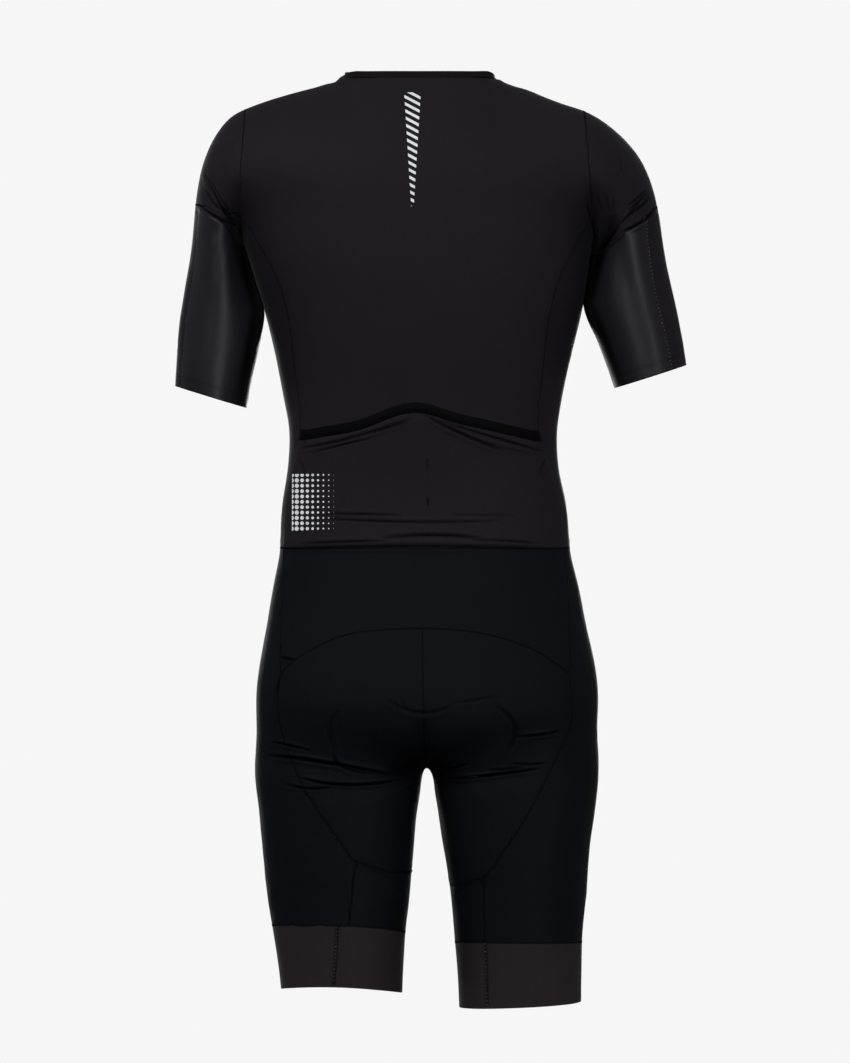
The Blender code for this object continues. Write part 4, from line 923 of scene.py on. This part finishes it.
def dots(tree, cloth):
    """A patch of reflective dots on the pocket's left that thin out towards the middle."""
    place = add(tree, "SeparateXYZ", {"Vector": add(tree, "TexCoord").outputs["Object"]}).outputs
    flat = add(tree, "CombineXYZ", {"X": place["X"], "Y": place["Z"]})
    grid = add(tree, "TexVoronoi", {"Vector": flat.outputs["Vector"], "Scale": 1 / (DOT_PITCH_MM * MM),
                                    "Randomness": 0.0}, voronoi_dimensions="2D")
    (outer, large), (inner, small) = DOT_SIZES
    size = add(tree, "MapRange", {"Value": place["X"], "From Min": outer * MM, "From Max": inner * MM,
                                  "To Min": large, "To Max": small})
    dot = add(tree, "Math", {0: grid.outputs["Distance"], 1: size.outputs["Result"]}, operation="LESS_THAN")
    across, along = (add(tree, "Math", {0: place[axis], 1: middle * MM, 2: reach * MM}, operation="COMPARE")
                     for axis, (middle, reach) in (("X", DOTS_ACROSS_MM), ("Z", DOTS_HEIGHT_MM)))
    return printed(tree, cloth, dot, across, along)


PRINTED_POCKET = knit("jersey with a transfer print of dots", *JERSEY_TONES, 0.7, 0.04, specular=0.04,
                      mark=dots)
POCKET_LIFT_MM = 2.4            # how far the cloth's outer face stands off the back
pocket = laid("pocket_panel", POCKET_LIFT_MM, ((POCKET_CREASES, 0, 1, -1),))
piece = finish_cloth(pocket, "pocket_panel", PRINTED_POCKET, "jersey", 0.6)
ELASTIC = knit("flat elastic, woven", "#070709", "#040405", 0.6, 0.0, wale_mm=1.2, relief=0.5,
               specular=0.03)
BAND_LIFT_MM = 3.0
piece = finish_cloth(laid("pocket_band", BAND_LIFT_MM), "pocket_band", ELASTIC, "elastic", 1.1)

# ------------------------------------------------------------------ Neck binding
# A strip of the body knit folded over the raw edge of the neck. The fold makes it a full,
# smooth roll, a little browner than the cloth.

BINDING = knit("folded binding", "#151112", "#0C0A0A", 0.65, 0.0, wale_mm=1.2, specular=0.04)
binding = bmesh.new()
binding.from_mesh(strip)
lay_weave(binding, "back", closes=False)
name = "neck_binding_cloth"
piece = placed(name, meshed(name, binding, BINDING), "binding", "neck_binding")

# ------------------------------------------------------------------ Stitching
# The panels are butted and joined by a flat seam, a narrow zigzag of black thread that
# lies in the groove between them. A few seams are sewn in grey, which shows as dots.

TWIST_MM = 1.1                  # coarser than the real twist, so that it shows


def thread(tone, pale, dark):
    """Textured polyester sewing thread, whose twist gives it two tones."""
    made, shader = shaded("sewing thread, textured polyester, " + tone)
    tree = made.node_tree
    twist = add(tree, "TexWave", {"Vector": add(tree, "TexCoord").outputs["Object"],
                                  "Scale": WAVE_PERIOD / (TWIST_MM * MM), "Distortion": 2.0},
                bands_direction="DIAGONAL")
    blend = add(tree, "Mix", {"Factor": twist.outputs["Fac"], "A": srgb(dark), "B": srgb(pale)},
                data_type="RGBA")
    fill(shader, {"Base Color": blend.outputs["Result"], "Roughness": 0.55, "Specular IOR Level": 0.1})
    return made


THREAD = thread("black", "#0B0A0C", "#050506")
GREY_THREAD = thread("grey", "#9A989E", "#605E64")
THREAD_MM = 0.34
BEDDING = 0.4                   # a thread's middle lies this share of its thickness above the cloth
LOOK_AHEAD_MM = 0.5             # along a seam, for its direction
SEAM_WIDTH_MM = 2.0
STITCH_MM = 2.2


def paced(line):
    """A line's points in millimetres, and how far along it each one is."""
    line = np.array(line) / MM
    return line, np.concatenate(([0], np.cumsum(np.linalg.norm(np.diff(line, axis=0), axis=1))))


def zigzag(line, width_mm=SEAM_WIDTH_MM, stitch_mm=STITCH_MM, aside_mm=0.0):
    """Points of a zigzag of thread that lies on the shell along a line."""
    line, along = paced(line)
    spots = np.linspace(0, along[-1], max(3, round(2 * along[-1] / stitch_mm) + 1))
    middle = np.stack([np.interp(spots, along, line[:, axis]) for axis in range(3)], axis=1)
    run = []
    for number, (spot, way) in enumerate(zip(middle, np.gradient(middle, axis=0))):
        up = shell_tree.find_nearest(Vector(spot * MM))[1]
        side = Vector(way).cross(up).normalized()
        reach = aside_mm + width_mm / 2 * (1 if number % 2 else -1)
        place, up, _, _ = shell_tree.find_nearest((Vector(spot) + side * reach) * MM)
        run.append(place + up * THREAD_MM * BEDDING * MM)
    return run


def dashes(line, pitch_mm, length_mm, aside_mm=0.0, lift_mm=0.0, across=False):
    """Single stitches spaced along a line, lying along it or across it."""
    line, along = paced(line)
    runs = []
    for start in np.arange(pitch_mm / 2, along[-1] - length_mm / 2, pitch_mm):
        spot, ahead = (Vector([np.interp(at, along, line[:, axis]) for axis in range(3)])
                       for at in (start, start + LOOK_AHEAD_MM))
        up = shell_tree.find_nearest(spot * MM)[1]
        way = (ahead - spot).normalized()
        side = way.cross(up).normalized()
        reach = (side if across else way) * length_mm / 2
        ends = []
        for end in (-1, 1):
            place, up, _, _ = shell_tree.find_nearest((spot + side * aside_mm + reach * end) * MM)
            ends.append(place + up * (THREAD_MM * BEDDING + lift_mm) * MM)
        runs.append(ends)
    return runs


def sew(name, runs, material, slot):
    """One piece of thread work: a thin tube along every run of points."""
    drawing = bpy.data.curves.new(name, "CURVE")
    drawing.dimensions = "3D"
    drawing.bevel_depth = THREAD_MM / 2 * MM
    drawing.bevel_resolution = 0
    drawing.use_fill_caps = True
    for run in runs:
        spline = drawing.splines.new("POLY")
        spline.points.add(len(run) - 1)
        for point, place in zip(spline.points, run):
            point.co = (*place, 1)
    holder = bpy.data.objects.new(name + "_line", drawing)
    scene.collection.objects.link(holder)
    mesh = evaluated(holder)
    bpy.data.objects.remove(holder)
    mesh.materials.clear()
    mesh.materials.append(material)
    mesh.shade_smooth()
    placed(name, mesh, slot)


def on_cloth(start, end, count, facing=-1):
    """Places on the shell along a line seen from behind, or from in front where `facing` is 1."""
    return [shell_tree.ray_cast(Vector((across * MM, facing, height * MM)), Vector((0, -facing, 0)))[0]
            for across, height in zip(np.linspace(start[0], end[0], count),
                                      np.linspace(start[1], end[1], count))]


LOWER_PANELS = ("yoke", "seat", "leg", "cuff")
upper, lower, grey = [], [], []
for pair in sorted(seam_edges, key=sorted):
    first, second = (PANELS[number] for number in sorted(pair))
    lines = [line for line in seam_line(first, second) if len(line) > 4]
    if first.startswith("sleeve_back") and second.startswith("sleeve_front"):
        grey += [run for line in lines for run in dashes(line, 4.0, 1.9, across=True)]
    elif second.startswith(LOWER_PANELS):
        lower += [zigzag(line) for line in lines]
    else:
        upper += [zigzag(line) for line in lines]

# The fronts' own share of the waist seam runs either side of the zip.
FRONT_WAIST_SEAMS = ((-93, -4), (4, 96))
FRONT_SEAM_DROP_MM = 0.6
for start, end in FRONT_WAIST_SEAMS:
    height = WAIST_HEIGHT_MM - FRONT_SEAM_DROP_MM
    lower.append(zigzag(on_cloth((start, height), (end, height), 24, 1)))

# Each gripper is closed by an overlocked seam up its back, black with grey zigzags over it.
GRIPPER_SEAMS = (((-86, -889), (-90, -951)), ((68, -906.5), (70, -973)))
for start, end in GRIPPER_SEAMS:
    line = on_cloth(start, end, 12)
    lower += [zigzag(line, 2.0, 0.8, aside) for aside in (-1.2, 0.0, 1.2)]
    grey += dashes(line, 4.0, 1.4, 0.4, 0.25, across=True)

# Two rows of black thread hold each raw sleeve hem, a finger's width above the edge.
HEM_ROWS_MM = (10.5, 12.5)
for name in ("sleeve_back_left", "sleeve_front_left", "sleeve_back_right", "sleeve_front_right"):
    number = PANELS.index(name)
    hem = [edge for edge in fine.edges if edge.is_boundary and edge.link_faces[0].material_index == number]
    for row in HEM_ROWS_MM:
        for edge in hem:
            ends = []
            for vert in edge.verts:
                place, up, _, _ = shell_tree.find_nearest(vert.co + Vector((0, 0, row * MM)))
                ends.append(place + up * THREAD_MM * BEDDING / 2 * MM)
            upper.append(ends)

# Bartacks hold the pocket's corners, above its band, and the ends of the divider stitched
# down its middle. The thread lies on the pocket, which stands off the shell.
CORNER_TACKS = (((-123, -371), (-121, -386)), ((121, -371), (120, -386)))
DIVIDER_TACKS = (((7.2, -404), (7.4, -411)), ((7.8, -445), (8.0, -452)))
for tacks, lift_mm in ((CORNER_TACKS, 3.6), (DIVIDER_TACKS, 2.6)):
    for start, end in tacks:
        tack = zigzag(on_cloth(start, end, 6), 2.4, 0.7)
        upper.append([place + Vector((0, -lift_mm * MM, 0)) for place in tack])
upper += dashes(on_cloth((7.3, -411), (7.8, -445), 12), 4.2, 1.6, 0.0, POCKET_LIFT_MM)

sew("seam_thread_upper", upper, THREAD, "jersey")
sew("seam_thread_lower", lower, THREAD, "shorts")
sew("seam_thread_grey", grey, GREY_THREAD, "satin")

# ------------------------------------------------------------------ Zip
# A closed nylon coil, 5 mm wide, on two woven tapes. The die-cast slider is parked near
# the top, and its pull tab hangs from it on a pin. Only the tab moves.

BLOTCH_MM = 8


def blotched(name, pale, dark, grain_mm, rough, level):
    """A finish of two tones that vary over the grain and in soft blotches."""
    made, shader = shaded(name)
    tree = made.node_tree
    place = add(tree, "TexCoord").outputs["Object"]
    rows = add(tree, "TexWave", {"Vector": place, "Scale": WAVE_PERIOD / (grain_mm * MM),
                                 "Distortion": 1.0}, bands_direction="Z")
    blotch = add(tree, "TexNoise", {"Vector": place, "Scale": 1 / (BLOTCH_MM * MM), "Detail": 3.0})
    amount = add(tree, "Math", {0: rows.outputs["Fac"], 1: blotch.outputs["Fac"]}, operation="MULTIPLY")
    blend = add(tree, "Mix", {"Factor": amount.outputs["Value"], "A": srgb(dark), "B": srgb(pale)},
                data_type="RGBA")
    fill(shader, {"Base Color": blend.outputs["Result"], "Roughness": rough, "Specular IOR Level": level})
    return made


TAPE = blotched("woven zip tape, polyester", "#17161A", "#0D0C0F", 0.9, 0.75, 0.08)
COIL = blotched("nylon coil", "#1D1C1F", "#131215", 2.0, 0.42, 0.3)
METAL = blotched("die-cast zinc, black paint", "#2A2A2D", "#1B1B1D", 3.0, 0.38, 0.5)
for name in ("zip_tape_left", "zip_tape_right"):
    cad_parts[name].data.materials.clear()
    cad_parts[name].data.materials.append(TAPE)

TOOTH_PITCH_MM = 1.3
TOOTH_LENGTH_MM = 3.6
TOOTH_DEPTH_MM = 0.9
TOOTH_THICKNESS_MM = 0.75
TOOTH_ASIDE_MM = 1.05           # the two sides' teeth reach past each other in the middle
TOOTH_SINK_MM = 0.35
TOOTH_EDGE_MM = 0.16
FIRST_TOOTH = 0.8               # pitches below the coil's top
coil_low, coil_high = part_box("zip_coil")
coil_middle = (coil_low[0] + coil_high[0]) / 2
coil_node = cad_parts["zip_coil"].data
coil_tree = BVHTree.FromPolygons([vert.co for vert in coil_node.vertices],
                                 [face.vertices[:] for face in coil_node.polygons])
teeth = bmesh.new()
count = round((coil_high[2] - coil_low[2]) / (TOOTH_PITCH_MM * MM)) - 2
for number in range(2 * count):
    height = coil_high[2] - (FIRST_TOOTH + number / 2) * TOOTH_PITCH_MM * MM
    place, up, _, _ = coil_tree.ray_cast(Vector((coil_middle, 1, height)), Vector((0, -1, 0)))
    side = 1 if number % 2 else -1
    tilt = Vector((0, 1, 0)).rotation_difference(up).to_matrix().to_4x4()
    tooth = bmesh.ops.create_cube(teeth, size=1)["verts"]
    bmesh.ops.scale(teeth, verts=tooth, vec=(TOOTH_LENGTH_MM * MM, TOOTH_DEPTH_MM * MM,
                                             TOOTH_THICKNESS_MM * MM))
    bmesh.ops.translate(teeth, verts=tooth, vec=(side * TOOTH_ASIDE_MM * MM, 0, 0))
    sunk = Matrix.Translation(place - up * TOOTH_SINK_MM * MM)
    bmesh.ops.transform(teeth, verts=tooth, matrix=sunk @ tilt)
bmesh.ops.bevel(teeth, geom=teeth.edges[:], offset=TOOTH_EDGE_MM * MM, affect="EDGES", segments=1,
                profile=0.5, material=-1)
for face in teeth.faces:
    face.smooth = True
placed("zip_coil_teeth", meshed("zip_coil_teeth", teeth, COIL), "zip_coil", "zip_coil")

for node, body, edge_mm in (("zip_slider", "suit", 0.45), ("zip_pull", "pull", 0.35)):
    mesh = meshed(node + "_cast", packed(node), METAL)
    mesh.shade_smooth()
    piece = placed(node + "_cast", mesh, "zip_metal", node, body)
    rounding = piece.modifiers.new("cast edges", "BEVEL")
    rounding.width = edge_mm * MM
    rounding.segments = 3
    rounding.limit_method = "ANGLE"

# ------------------------------------------------------------------ Seat pad
# A moulded foam pad under a brushed cover, sewn inside the seat. It is firm, with two
# raised wings and shallow channels pressed between them.

PAD = knit("brushed pad cover over foam", "#3A3C42", "#2A2C31", 0.8, 0.15, wale_mm=2.0, relief=0.3,
           specular=0.2)
PAD_CLEARANCE_MM = 1.6          # from the shell's outer face
foam = squared(packed("pad"))
lay_weave(foam, "seat_left", closes=False)
pad_mesh = smoothed(meshed("pad_foam", foam, PAD))
for vert in pad_mesh.vertices:
    place, up, _, _ = shell_tree.find_nearest(vert.co)
    if (vert.co - place).dot(up) > -PAD_CLEARANCE_MM * MM:
        vert.co = place - up * PAD_CLEARANCE_MM * MM
piece = placed("pad_foam", pad_mesh, "pad", "pad")
